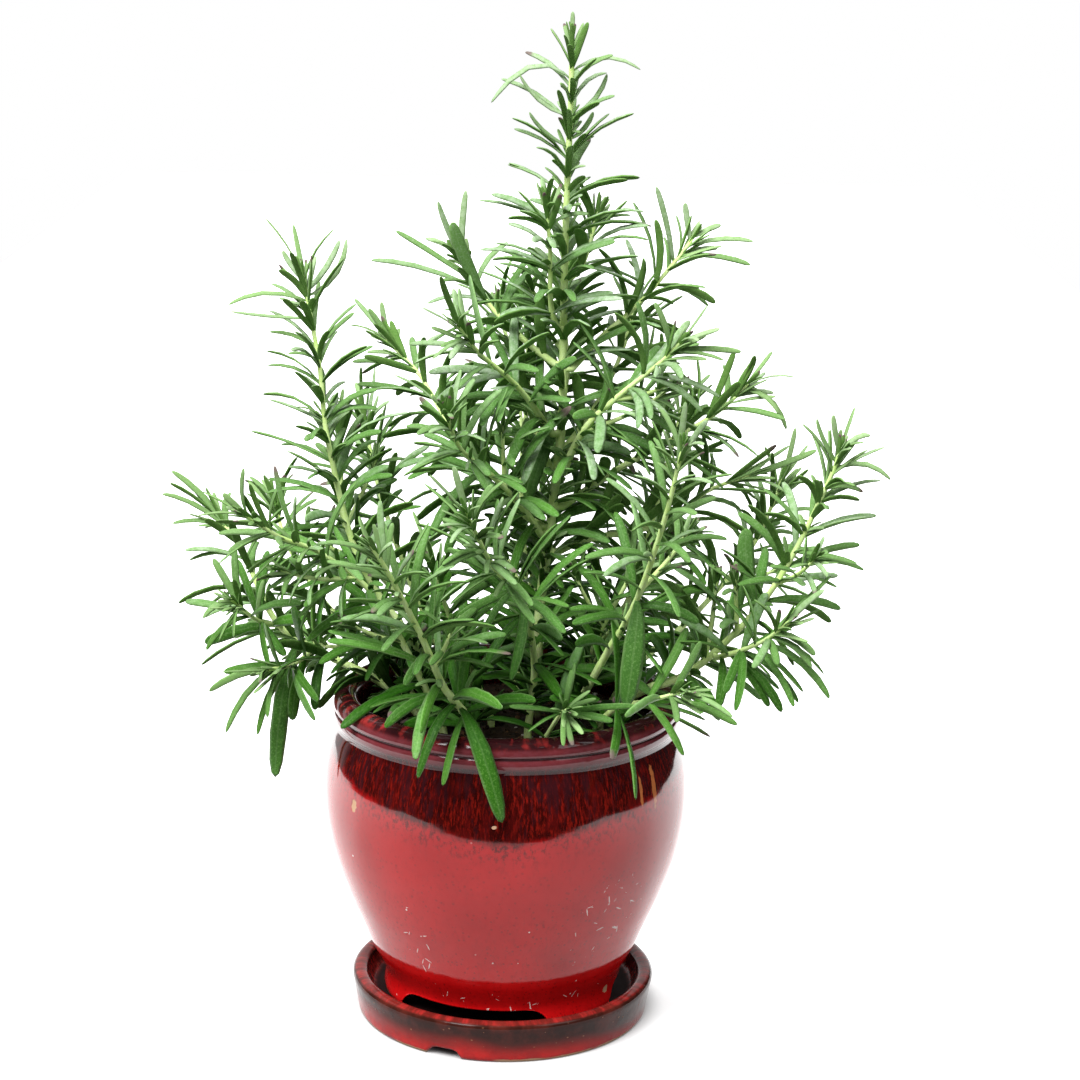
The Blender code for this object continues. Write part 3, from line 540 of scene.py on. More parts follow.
class Graph:
    """Adds shader nodes to one tree."""

    def __init__(self, tree: bpy.types.NodeTree) -> None:
        """Keeps the tree that the nodes go into."""
        self.tree = tree

    def node(self, kind: str, sockets: Sockets | None = None, output: str | int = 0,
             **settings: object) -> Signal:
        """Adds a node.

        Args:
            kind: The node's type, without the word that all shader nodes start with.
            sockets: What its inputs are linked to or set to, by name or number.
            output: The output that is wanted, by name or number.
            **settings: The node's own options.

        Returns:
            What that output gives.
        """
        made = self.tree.nodes.new(f"ShaderNode{kind}")
        for name, value in settings.items():
            setattr(made, name, value)
        for name, value in (sockets or {}).items():
            self.feed(made.inputs[name], value)
        return Signal(self, made.outputs[output])

    def feed(self, socket: bpy.types.NodeSocket, value: object) -> None:
        """Links an input to a signal, or sets it to a constant."""
        if isinstance(value, Signal):
            self.tree.links.new(value.socket, socket)
        else:
            socket.default_value = value

    def vector(self, x: Signal | float = 0.0, y: Signal | float = 0.0, z: Signal | float = 0.0) -> Signal:
        """A vector from its three parts."""
        return self.node("CombineXYZ", {0: x, 1: y, 2: z})

    def attribute(self, name: str, output: str = "Vector") -> Signal:
        """What an attribute of the mesh holds."""
        return self.node("Attribute", output=output, attribute_name=name)


class Effect:
    """A shared effect: a node group that takes a place first, with named inputs and outputs."""

    def __init__(self, name: str, inputs: dict[str, str], outputs: dict[str, str]) -> None:
        """Makes an empty group.

        Args:
            name: The group's name.
            inputs: Each input's name and its kind, Float, Vector or Color.
            outputs: The same for the outputs.
        """
        self.tree = bpy.data.node_groups.new(name, "ShaderNodeTree")
        for way, kinds in (("INPUT", inputs), ("OUTPUT", outputs)):
            for title, kind in kinds.items():
                self.tree.interface.new_socket(title, in_out=way, socket_type=f"NodeSocket{kind}")
        self.graph = Graph(self.tree)
        self.given = self.tree.nodes.new("NodeGroupInput").outputs
        self.result = self.tree.nodes.new("NodeGroupOutput").inputs

    def take(self, title: str) -> Signal:
        """What one of the inputs is given."""
        return Signal(self.graph, self.given[title])

    def put(self, title: str, value: Signal) -> None:
        """Sets what one of the outputs gives."""
        self.graph.feed(self.result[title], value)

    def on(self, place: Signal, **sockets: Signal | float) -> Signal:
        """Sets the effect to work on a place, in the graph of that place, and gives its first output."""
        return place.graph.node("Group", {"Place": place, **sockets}, node_tree=self.tree)


class Effects:
    """The effects that the finishes share, each built once."""

    def __init__(self) -> None:
        """Builds every effect."""
        self.wheel = self._wheel()
        self.runs = self._runs()
        self.specks = self._specks()
        self.down = self._down()

    @staticmethod
    def _wheel() -> Effect:
        """Lays out places on a thrown piece as if its wall were as far from the axis at every height.

        Returns:
            The effect, which gives the unrolled place and the height in mm.
        """
        made = Effect("places on a thrown piece", {"Place": "Vector"}, {"Place": "Vector", "Height": "Float"})
        x, y, z = made.take("Place").split()
        around = made.graph.vector(x, y).vector("NORMALIZE").vector("MULTIPLY", [WHEEL_RADIUS] * 3)
        made.put("Place", around.vector("ADD", made.graph.vector(z=z)))
        made.put("Height", z * (1.0 / MM))
        return made

    @staticmethod
    def _runs() -> Effect:
        """Makes glaze that ran down the wall in the kiln, in upright streaks of several widths.

        Returns:
            The effect, which gives a mask.
        """
        made = Effect("glaze runs", {"Place": "Vector", "Cover": "Float"}, {"Mask": "Float"})
        place = made.take("Place")
        broad = place.squeeze((1.0, 1.0, 0.2)).noise(240.0, 3.0, 0.6)
        fine = place.squeeze((1.0, 1.0, 0.16)).noise(900.0, 3.0, 0.7)
        made.put("Mask", (broad * 0.45 + fine * 0.55 + made.take("Cover")).step(0.48, 0.6))
        return made

    @staticmethod
    def _specks() -> Effect:
        """Makes scattered small marks. Places that were squeezed first make ticks and scratches of them.

        Returns:
            The effect, which gives a mask.
        """
        kinds = {"Place": "Vector", "Scale": "Float", "Size": "Float", "Cover": "Float"}
        made = Effect("specks", kinds, {"Mask": "Float"})
        sockets = {"Vector": made.take("Place"), "Scale": made.take("Scale")}
        cells = made.graph.node("TexVoronoi", sockets, output="Distance")
        kept = cells.other("Color").split()[0].math("LESS_THAN", made.take("Cover"))
        made.put("Mask", kept * cells.math("LESS_THAN", made.take("Size")))
        return made

    @staticmethod
    def _down() -> Effect:
        """Makes short pale hairs that lie on a surface.

        Returns:
            The effect, which gives a mask and a height.
        """
        made = Effect("down", {"Place": "Vector", "Cover": "Float"}, {"Mask": "Float", "Height": "Float"})
        place = made.take("Place")
        hairs = place.squeeze((1.0, 1.0, 0.35), (0.5, 0.4, 0.0)).noise(2600.0, 2.0, 0.7)
        mixed = hairs + (place.noise(260.0) - 0.5) * 0.5
        made.put("Mask", (mixed + made.take("Cover")).step(0.5, 0.72))
        made.put("Height", hairs)
        return made


class Finish:
    """A material with a Principled shader, whose patterns read the surface's own place."""

    NAME = "plain"
    CONSTANTS: Sockets = {}

    def __init__(self, effects: Effects) -> None:
        """Makes the material, sets what is the same all over it and adds its patterns.

        Args:
            effects: The shared effects.
        """
        self.effects = effects
        self.material = bpy.data.materials.new(self.NAME)
        self.material.use_nodes = True
        self.graph = Graph(self.material.node_tree)
        self.shader = self.material.node_tree.nodes["Principled BSDF"]
        for title, value in self.CONSTANTS.items():
            self.graph.feed(self.shader.inputs[title], value)
        self.place = self.graph.node("TexCoord", output="Object")
        self.dress()

    def dress(self) -> None:
        """Adds the patterns, where a finish has them."""

    def link(self, **patterns: Signal) -> None:
        """Links patterns to the shader's inputs, with _ for a space in a title."""
        for title, value in patterns.items():
            self.graph.feed(self.shader.inputs[title.replace("_", " ")], value)

    def bump(self, height: Signal, depth: float) -> None:
        """Gives the surface a relief, so deep in mm."""
        sockets = {"Height": height, "Distance": depth * MM, "Strength": 1.0}
        self.link(Normal=self.graph.node("Bump", sockets))

    def wheel(self) -> tuple[Signal, Signal]:
        """The unrolled place and the height of a thrown piece."""
        placed = self.effects.wheel.on(self.place)
        return placed, placed.other("Height")

    def reach(self) -> Signal:
        """How far the surface is from the pot's axis, in metres."""
        return self.place.vector("MULTIPLY", (1.0, 1.0, 0.0)).length()


@dataclass(frozen=True)
class Patch:
    """A place on a thrown piece where the glaze differs, such as a chip or a drip.

    Its turn is in degrees to the right of the front, its height and its reach in mm.
    """

    turn: float
    height: float
    wide: float
    tall: float


class PotFinish(Finish):
    """The pot's red glaze: bright where it is thick, with black runs under the lip, chips, ticks, painted
    shade and painted reflections.
    """

    NAME = "red pot glaze"
    CONSTANTS = {"IOR": 1.5, "Specular IOR Level": 0.33}
    BRIGHT = (0.55, 0.006, 0.007)
    DEEP = (0.41, 0.003, 0.004)
    MOTTLE = (0.32, 0.003, 0.004)
    PIT = (0.12, 0.002, 0.003)
    PAINTED_SHADE_RED = (0.2, 0.002, 0.003)
    WINE = (0.015, 0.001, 0.0007)
    EMBER = (0.15, 0.006, 0.003)
    BLOT = (0.075, 0.003, 0.003)
    BLACK = (0.022, 0.004, 0.006)
    ROSE = (0.17, 0.034, 0.042)
    DARK_ROSE_REFLECTION = (0.15, 0.025, 0.03)
    CROWN = (0.03, 0.006, 0.008)
    CROWN_RED = (0.24, 0.02, 0.02)
    BISQUE = (0.5, 0.31, 0.19)
    DRIP = (0.5, 0.16, 0.05)
    NICK = (0.85, 0.74, 0.7)
    SHOULDER = 97.2
    CHIPS = (Patch(-53.0, 103.0, 1.5, 2.3), Patch(-2.5, 105.5, 0.9, 0.7), Patch(60.0, 17.5, 2.6, 1.5),
             Patch(-31.0, 14.0, 1.3, 0.9), Patch(118.0, 97.0, 1.6, 1.1), Patch(205.0, 31.0, 1.8, 1.3))
    SCRATCHED = (Patch(38.0, 60.0, 14.0, 15.0), Patch(-32.0, 45.0, 6.0, 14.0), Patch(8.0, 22.0, 40.0, 4.0),
                 Patch(148.0, 62.0, 7.0, 8.0))
    SCRATCH_TURNS = (0.3, -0.5, 1.1, -1.3)
    DRIPS = (Patch(54.0, 113.0, 1.2, 8.0), Patch(47.5, 112.0, 0.8, 6.5), Patch(-128.0, 112.0, 1.4, 7.0))

    def dress(self) -> None:
        """Adds the patterns."""
        self.spot, self.height = self.wheel()
        colour = self._lip(self._body())
        colour = self._marks().mix(colour, self.NICK)
        foot = self.height.step(10.6, 9.6) * self.spot.noise(90.0).step(0.35, 0.5)
        bare = self._patches(self.CHIPS, 1.0).most(foot)
        colour = bare.mix(colour, self.BISQUE)
        colour = (self._patches(self.DRIPS, 0.8) * 0.75).mix(colour, self.DRIP)
        self.link(Base_Color=colour, Roughness=bare * 0.6 + self.spot.noise(75.0) * 0.06 + 0.045)
        skin = self.spot.noise(55.0) + self.spot.noise(900.0, 1.0) * 0.03
        self.bump(skin - bare * 0.5, 0.15)

    def _body(self) -> Signal:
        """Colours the wall: red that pools and breaks, with painted shade towards the top, and black runs
        that hang from a shoulder line which is partly painted reflection.

        Returns:
            The colour.
        """
        red = self.spot.noise(34.0, 4.0, 0.6).step(0.25, 0.7).mix(self.DEEP, self.BRIGHT)
        fine = self.spot.squeeze((1.0, 1.0, 0.6)).noise(620.0, 3.0, 0.75)
        red = fine.step(0.5, 0.72, 0.0, 0.6).mix(red, self.MOTTLE)
        pits = self.effects.specks.on(self.spot, Scale=420.0, Size=0.22, Cover=0.7)
        red = (pits * 0.45).mix(red, self.PIT)
        # Painted shade: the red darkens towards the top of the belly, to even out the stronger light there.
        red = self.height.step(40.0, 104.0, 0.0, 0.65).mix(red, self.PAINTED_SHADE_RED)
        embers = self.spot.squeeze((1.0, 1.0, 0.22)).noise(1150.0, 3.0, 0.7)
        dark = embers.step(0.44, 0.68).mix(self.WINE, self.EMBER)
        blots = self.spot.squeeze((1.0, 1.0, 0.5)).noise(130.0, 4.0, 0.65).step(0.46, 0.62)
        dark = (blots * 0.5).mix(dark, self.BLOT)
        # The dark shoulder is partly real black glaze and partly painted reflection of the dark room in front
        # of the pot, whose mirrored outline its lower edge follows.
        tongues = self.spot.squeeze((1.0, 1.0, 0.15)).noise(330.0, 3.0, 0.65)
        above = self.height + (tongues - 0.5) * 5.0 - self._dark_glaze_and_mirror_line()
        shoulder = above.step(-2.5, 2.0)
        flecks = above.step(-13.0, 0.0) * fine.step(0.46, 0.66)
        red = (flecks * 0.75).mix(red, self.WINE)
        red = (shoulder * 0.96).mix(red, dark)
        runs = self.effects.runs.on(self.spot, Cover=self.height.step(92.0, 126.0, 0.0, 0.1) - 0.07)
        return (runs * shoulder * 0.8).mix(red, self.BLACK)

    def _dark_glaze_and_mirror_line(self) -> Signal:
        """Draws the line that the dark glaze comes down to, lowest at the front and the back. It is partly
        where the glaze ran and partly painted reflection, shaped like the dark room that the belly mirrors.

        Returns:
            The line's height in mm.
        """
        aside = self.spot.split()[0] * (1.0 / WHEEL_RADIUS)
        square = aside * aside
        rise = (square + 0.01).math("SQRT") * 13.0
        return rise + square * square * 6.0 - square * aside * 2.0 + self.SHOULDER

    def _lip(self, colour: Signal) -> Signal:
        """Colours the lip: a rose band that is painted reflection of the white table, a black line of painted
        shade in the groove, and black mottled with red on top.

        Args:
            colour: The colour below the lip.

        Returns:
            The colour with the lip's.
        """
        # Painted reflection: the rose band round the lip stands for the white table mirrored in it.
        band = self.height.step(126.4, 128.4) * self.height.step(137.0, 134.6)
        patchy_reflection = self.spot.squeeze((1.0, 1.0, 1.6)).noise(260.0, 4.0, 0.65).step(0.36, 0.58)
        colour = (band * 0.85).mix(colour, patchy_reflection.mix(self.DARK_ROSE_REFLECTION, self.ROSE))
        # Painted shade: a black line in the groove under the lip's roll.
        groove = self.height.step(130.9, 131.5) * self.height.step(132.6, 132.0)
        colour = (groove * 0.85).mix(colour, self.BLACK)
        crown = self.spot.noise(210.0, 3.0).step(0.5, 0.68).mix(self.CROWN, self.CROWN_RED)
        return self.height.step(134.8, 137.2).mix(colour, crown)

    def _marks(self) -> Signal:
        """Draws pale ticks and scratches that the pot got in use, mostly low on the belly.

        Returns:
            Their mask.
        """
        x, y, z = self.spot.split()
        flat = self.graph.vector(x.math("ARCTAN2", y * -1.0) * WHEEL_RADIUS, z)
        lines = [self.effects.specks.on(flat.squeeze((1.0, 0.13, 1.0), (0.0, 0.0, turn)),
                                        Scale=520.0, Size=0.13, Cover=0.9) for turn in self.SCRATCH_TURNS]
        scratches = reduce(Signal.most, lines) * self._patches(self.SCRATCHED, 1.6)
        dots = self.effects.specks.on(self.spot, Scale=260.0, Size=0.11, Cover=0.07)
        dots = dots * self.spot.noise(30.0).step(0.42, 0.55)
        return scratches.most(dots) * self.height.step(104.0, 92.0) * 0.85

    def _patches(self, patches: Sequence[Patch], ragged: float) -> Signal:
        """Marks out several patches.

        Args:
            patches: The patches.
            ragged: How ragged their edges are.

        Returns:
            Their mask.
        """
        wander = (self.spot.noise(420.0, 3.0) - 0.5) * (1.6 * ragged)
        spots = []
        for patch in patches:
            turn = math.radians(patch.turn)
            centre = (WHEEL_RADIUS * math.sin(turn), -WHEEL_RADIUS * math.cos(turn), patch.height * MM)
            size = (patch.wide * MM, patch.wide * MM, patch.tall * MM)
            reach = self.spot.vector("SUBTRACT", centre).vector("DIVIDE", size).length()
            spots.append((reach + wander).step(1.12, 0.88))
        return reduce(Signal.most, spots)


class SaucerFinish(Finish):
    """The saucer's glaze: almost black at the rim, speckled, and red where it ran to the foot, with painted
    shade on the floor under the pot.
    """

    NAME = "dark saucer glaze"
    CONSTANTS = {"IOR": 1.5, "Specular IOR Level": 0.17}
    RED = (0.5, 0.014, 0.012)
    THIN_RED = (0.3, 0.01, 0.01)
    BLACK = (0.022, 0.006, 0.004)
    BROWN = (0.066, 0.012, 0.008)
    RIM_RED = (0.36, 0.02, 0.018)
    WALL = (0.1, 0.012, 0.01)
    WALL_RED = (0.42, 0.035, 0.03)
    TAN = (0.3, 0.13, 0.07)
    TICK = (0.6, 0.45, 0.36)
    BISQUE = (0.52, 0.33, 0.2)
    PAINTED_SHADE_FLOOR = (0.012, 0.004, 0.004)

    def dress(self) -> None:
        """Adds the patterns."""
        place, height = self.wheel()
        radius = self.reach() * (1.0 / MM)
        pools = place.noise(90.0, 4.0, 0.6)
        level = height + ((pools - 0.5) * 6.0 + (place.noise(22.0) - 0.5) * 14.0)
        red = pools.step(0.35, 0.65).mix(self.THIN_RED, self.RED)
        dark = pools.step(0.4, 0.7).mix(self.BLACK, self.BROWN)
        side = level.step(0.5, 11.0).mix(red, dark)
        mottle = place.noise(300.0, 4.0, 0.65).step(0.42, 0.7)
        top = (mottle * 0.5 + 0.2).mix(dark, self.RIM_RED)
        wall = height.step(16.4, 14.6) * radius.step(60.5, 58.5)
        top = wall.mix(top, mottle.mix(self.WALL, self.WALL_RED))
        inside = wall.most(height.step(15.6, 17.2) * radius.step(62.6, 61.6))
        # Painted shade: the floor inside, under the pot, is near black, as it lies in the pot's shadow.
        floor = height.step(10.2, 8.9) * radius.step(58.4, 57.4)
        colour = inside.mix(side, top)
        tan = self.effects.specks.on(place.squeeze((0.7, 0.7, 1.0)), Scale=560.0, Size=0.2, Cover=0.22)
        band = level.step(5.0, 9.0) * height.step(16.8, 15.0)
        colour = (tan * band * 0.5).mix(colour, self.TAN)
        bare = (height + pools * 1.2).step(2.3, 1.6) * place.noise(32.0).step(0.42, 0.5)
        ticks = self.effects.specks.on(place.squeeze((0.5, 0.5, 1.0)), Scale=240.0, Size=0.08, Cover=0.05)
        colour = (ticks * 0.8).mix(colour, self.TICK)
        colour = floor.mix(bare.mix(colour, self.BISQUE), self.PAINTED_SHADE_FLOOR)
        self.link(Base_Color=colour, Roughness=bare.most(floor) * 0.6 + pools * 0.16 + 0.06)
        self.bump(place.noise(130.0) + tan * 0.15, 0.2)


class SoilFinish(Finish):
    """Moist potting compost, with bark and a few white grains among the crumbs."""

    NAME = "potting compost"
    CONSTANTS = {"Roughness": 0.95}
    EARTH = (0.012, 0.008, 0.005)
    LOAM = (0.06, 0.036, 0.02)
    BARK = (0.14, 0.075, 0.035)
    GRAIN = (0.66, 0.63, 0.56)

    def dress(self) -> None:
        """Adds the patterns, from each crumb's tone."""
        tone = self.graph.attribute("tone").split()[0]
        lumps = self.place.noise(700.0, 4.0, 0.7)
        colour = lumps.step(0.35, 0.7).mix(self.EARTH, self.LOAM)
        colour = tone.step(0.55, 0.75).mix(colour, self.BARK)
        colour = tone.step(0.93, 0.95).mix(colour, self.GRAIN)
        self.link(Base_Color=colour, Roughness=lumps.step(0.2, 0.8, 0.8, 1.0))
        self.bump(lumps, 0.8)


class LeafFinish(Finish):
    """A rosemary leaf: green and a little shiny above, pale at the rolled edges, with painted shade
    underneath and in the core, and painted light and sheen higher up.
    """

    NAME = "rosemary leaf"
    CONSTANTS = {"IOR": 1.4, "Specular IOR Level": 0.22}
    DARK = (0.009, 0.062, 0.002)
    MID = (0.064, 0.2, 0.015)
    PALE = (0.145, 0.295, 0.08)
    SAGE = (0.36, 0.45, 0.33)
    FRESH = (0.19, 0.4, 0.09)
    YOUNG = (0.31, 0.45, 0.2)
    EDGE = (0.42, 0.6, 0.28)
    SHADED_FELT = (0.05, 0.14, 0.018)
    HIGH_SHADED_FELT = (0.12, 0.26, 0.055)
    DOWN = (0.28, 0.42, 0.14)
    DRY = (0.15, 0.1, 0.1)

    def dress(self) -> None:
        """Adds the patterns, from each leaf's blade and tone attributes."""
        across, along, under = self.graph.attribute("blade").split()
        chance, youth, dryness = self.graph.attribute("tone").split()
        wide = across.math("ABSOLUTE")
        z = self.place.split()[2]
        reach = self.reach()
        # Painted light: this mask rises with height and with distance from the axis, where the plant is lit
        # most; it pales the green, the underside and the sage patches.
        high = (z + reach * 0.4).step(0.155, 0.355)
        # Painted shade: leaves low down and near the axis, in the plant's core over the pot's mouth, are
        # darkened.
        shade = z.step(0.2, 0.14) * reach.step(0.095, 0.055)
        mottle = self.place.noise(420.0, 3.0, 0.6)
        green = (chance * 0.7 + mottle * 0.4).mix(self.DARK, self.MID)
        # Painted light: paler green higher up and further out.
        green = (high * 0.6).mix(green, self.PALE)
        # Partly the leaves' grey bloom, partly painted sheen: pale sage patches, more of them higher up where
        # the painted light is.
        bloom_and_sheen = (chance + high * 0.55 - 0.25).step(0.55, 1.15)
        green = (bloom_and_sheen * mottle.step(0.35, 0.65, 0.3, 0.9)).mix(green, self.SAGE)
        grain = self.place.noise(1300.0, 3.0, 0.7)
        green = grain.step(0.5, 0.68, 0.0, 0.35).mix(green, high.mix(self.FRESH, self.SAGE))
        green = grain.step(0.46, 0.32, 0.0, 0.4).mix(green, self.DARK)
        green = (youth * 0.8).mix(green, self.YOUNG)
        green = (wide.step(0.15, 0.04) * 0.07).mix(green, self.EDGE)
        green = (wide.step(0.72, 1.0) * 0.25).mix(green, self.EDGE)
        down = self.effects.down.on(self.place, Cover=0.12)
        # Painted shade: the felted underside is dark green rather than its own pale grey, a little lighter
        # higher up.
        shaded_felt = (down * 0.25).mix(high.mix(self.SHADED_FELT, self.HIGH_SHADED_FELT), self.DOWN)
        below = under.step(0.35, 0.6)
        # Painted shade darkens the core, by the mask above.
        colour = (shade * 0.6).mix(below.mix(green, shaded_felt), self.DARK)
        tip = (along + mottle * 0.2).step(0.93, 1.05) * dryness
        self.link(Base_Color=tip.mix(colour, self.DRY), Roughness=below * 0.4 + 0.42)
        self.bump(down.other("Height") * below + mottle * 0.3, 0.12)


class StemFinish(Finish):
    """A rosemary stem: brown flaking bark where it is old, pale green with white down where it is young."""

    NAME = "rosemary stem"
    CONSTANTS = {"Roughness": 0.8}
    CRACK = (0.07, 0.04, 0.025)
    BARK = (0.27, 0.18, 0.11)
    GREEN = (0.53, 0.76, 0.17)
    PALE = (0.7, 0.88, 0.38)
    DOWN = (0.8, 0.92, 0.6)

    def dress(self) -> None:
        """Adds the patterns, from the stem's age attribute."""
        flakes = self.place.squeeze((1.0, 1.0, 0.18)).noise(900.0, 4.0, 0.7)
        bark = flakes.step(0.35, 0.65).mix(self.CRACK, self.BARK)
        patches = self.place.noise(160.0, 3.0)
        down = self.effects.down.on(self.place, Cover=0.08)
        young = (down * 0.4).mix(patches.mix(self.GREEN, self.PALE), self.DOWN)
        aged = (self.graph.attribute("age", "Fac") + (patches - 0.5) * 0.5).step(0.5, 0.8)
        self.link(Base_Color=aged.mix(young, bark))
        self.bump(flakes * aged + down.other("Height") * 0.3, 0.22)


class PaperFinish(Finish):
    """The white paper on the table, lit a little from below by a painted glow that lifts most of its cast
    shadow. What it casts on the plant is dim.
    """

    NAME = "white paper"
    CONSTANTS = {"Roughness": 0.9, "Specular IOR Level": 0.0, "Emission Strength": 1.0}
    SEEN = (0.4, 0.4, 0.4)
    CAST = (0.15, 0.15, 0.15)

    def dress(self) -> None:
        """Adds the patterns."""
        x, y, _ = self.place.split()
        reach = self.place.length()
        # Painted light: the glow is nil right round the saucer and stronger to the sides and behind it, so
        # that the cast shadow shows only close to the saucer and in front of it.
        aside = x.math("ABSOLUTE").step(0.12, 0.5, 0.0, 1.3)
        behind = y.step(-0.01, 0.05, 0.0, 0.5)
        beyond = reach.step(0.075, 0.15, 0.0, 0.4) + behind * reach.step(0.06, 0.07)
        shadow_lifting_glow = reach.step(0.054, 0.07, 0.0, 0.58) + (aside + beyond)
        onto_plant = self.graph.node("LightPath", output="Is Diffuse Ray")
        self.link(Emission_Color=shadow_lifting_glow * (onto_plant * -0.88 + 1.0))
        self.link(Base_Color=onto_plant.mix(self.SEEN, self.CAST))


@dataclass
class Saucer:
    """The saucer: a shallow dish with a rounded rim and a notched foot ring. Sizes are mm."""

    rim_radius: float = 63.0
    height: float = 17.6
    rim_width: float = 6.4
    rim_roll: float = 2.4
    base_radius: float = 60.2
    foot_width: float = 9.5
    foot_height: float = 4.0
    floor_height: float = 8.6
    notch_width: float = 15.0
    notch_height: float = 3.6
    notch_turn: float = -22.0
    segments: int = 216

    def outline(self) -> Outline:
        """Draws the section.

        Returns:
            Its (radius, height) points from the underside's middle, out, up the wall and in over the floor.
        """
        middle = self.rim_radius - self.rim_width / 2
        inner = self.rim_radius - self.rim_width
        foot = self.base_radius - self.foot_width
        shoulder = self.height - self.rim_roll
        wall = curved([(self.base_radius + 0.3, 1.2), (61.2, 5.0), (62.1, 10.0),
                       (self.rim_radius - 0.1, 14.2)], 3)
        dish = curved([(inner + 0.1, shoulder - 0.8), (inner - 1.0, 11.6), (inner - 3.0, 9.4),
                       (inner - 6.5, self.floor_height)], 4)
        return [(8.0, self.foot_height), (foot - 1.2, self.foot_height), (foot - 0.5, 1.4), (foot, 0.3),
                (foot + 0.5, 0.0), (self.base_radius - 1.0, 0.0), (self.base_radius - 0.3, 0.3),
                *wall, *arc((middle, shoulder), (self.rim_width / 2, self.rim_roll), 0, 180, 14), *dish,
                *[(reach, self.floor_height - 0.1) for reach in (32.0, 8.0, 0.5)]]

    def notched(self, points: Points) -> Points:
        """Lifts the foot ring over the three notches.

        Args:
            points: The points in mm.

        Returns:
            Their new places.
        """
        moved = points.copy()
        top = self.floor_height - 1.0
        low = points[:, 2] < top
        outer = np.hypot(points[:, 0], points[:, 1]) > self.base_radius - self.foot_width - 0.9
        for third in range(3):
            turn = self.notch_turn + 120 * third
            lift = arch_height(points, turn, self.notch_width, self.notch_height, -3.0)
            raised = low & outer & (lift > 0.0)
            moved[raised, 2] = lift[raised] + points[raised, 2] * (1.0 - lift[raised] / top)
        return moved

    def build(self, finish: SaucerFinish) -> None:
        """Makes the saucer, dresses it and sets it in the frame.

        Args:
            finish: The glaze.
        """
        piece = Bench.throw("saucer_glazed", self.outline(), self.segments, ring=False)
        Bench.reshape(piece, lambda points: hand_made(points, 0.12, 0.05, 4.0))
        Bench.reshape(piece, self.notched)
        piece.data.materials.append(finish.material)
        Bench.deliver(piece, ["saucer"], "saucer_glaze")


def arch_height(points: Points, turn: float, width: float, top: float, bottom: float) -> Points:
    """How high an arch stands over each point.

    Args:
        points: The points in mm.
        turn: Where the arch's middle points to, in degrees to the right of the front.
        width: The arch's width.
        top: The height of its crown.
        bottom: The height that its rounded corners are measured from.

    Returns:
        The arch's height at each point, or 0 away from it.
    """
    angle = math.radians(turn)
    out = points[:, 0] * math.sin(angle) - points[:, 1] * math.cos(angle)
    across = np.abs(points[:, 0] * math.cos(angle) + points[:, 1] * math.sin(angle))
    corner = min(0.45 * width, 0.7 * (top - bottom))
    past = np.clip(across - (width / 2 - corner), 0.0, corner)
    height = top - corner + np.sqrt(corner ** 2 - past ** 2)
    return np.where((out > 0.0) & (across < width / 2), height, 0.0)


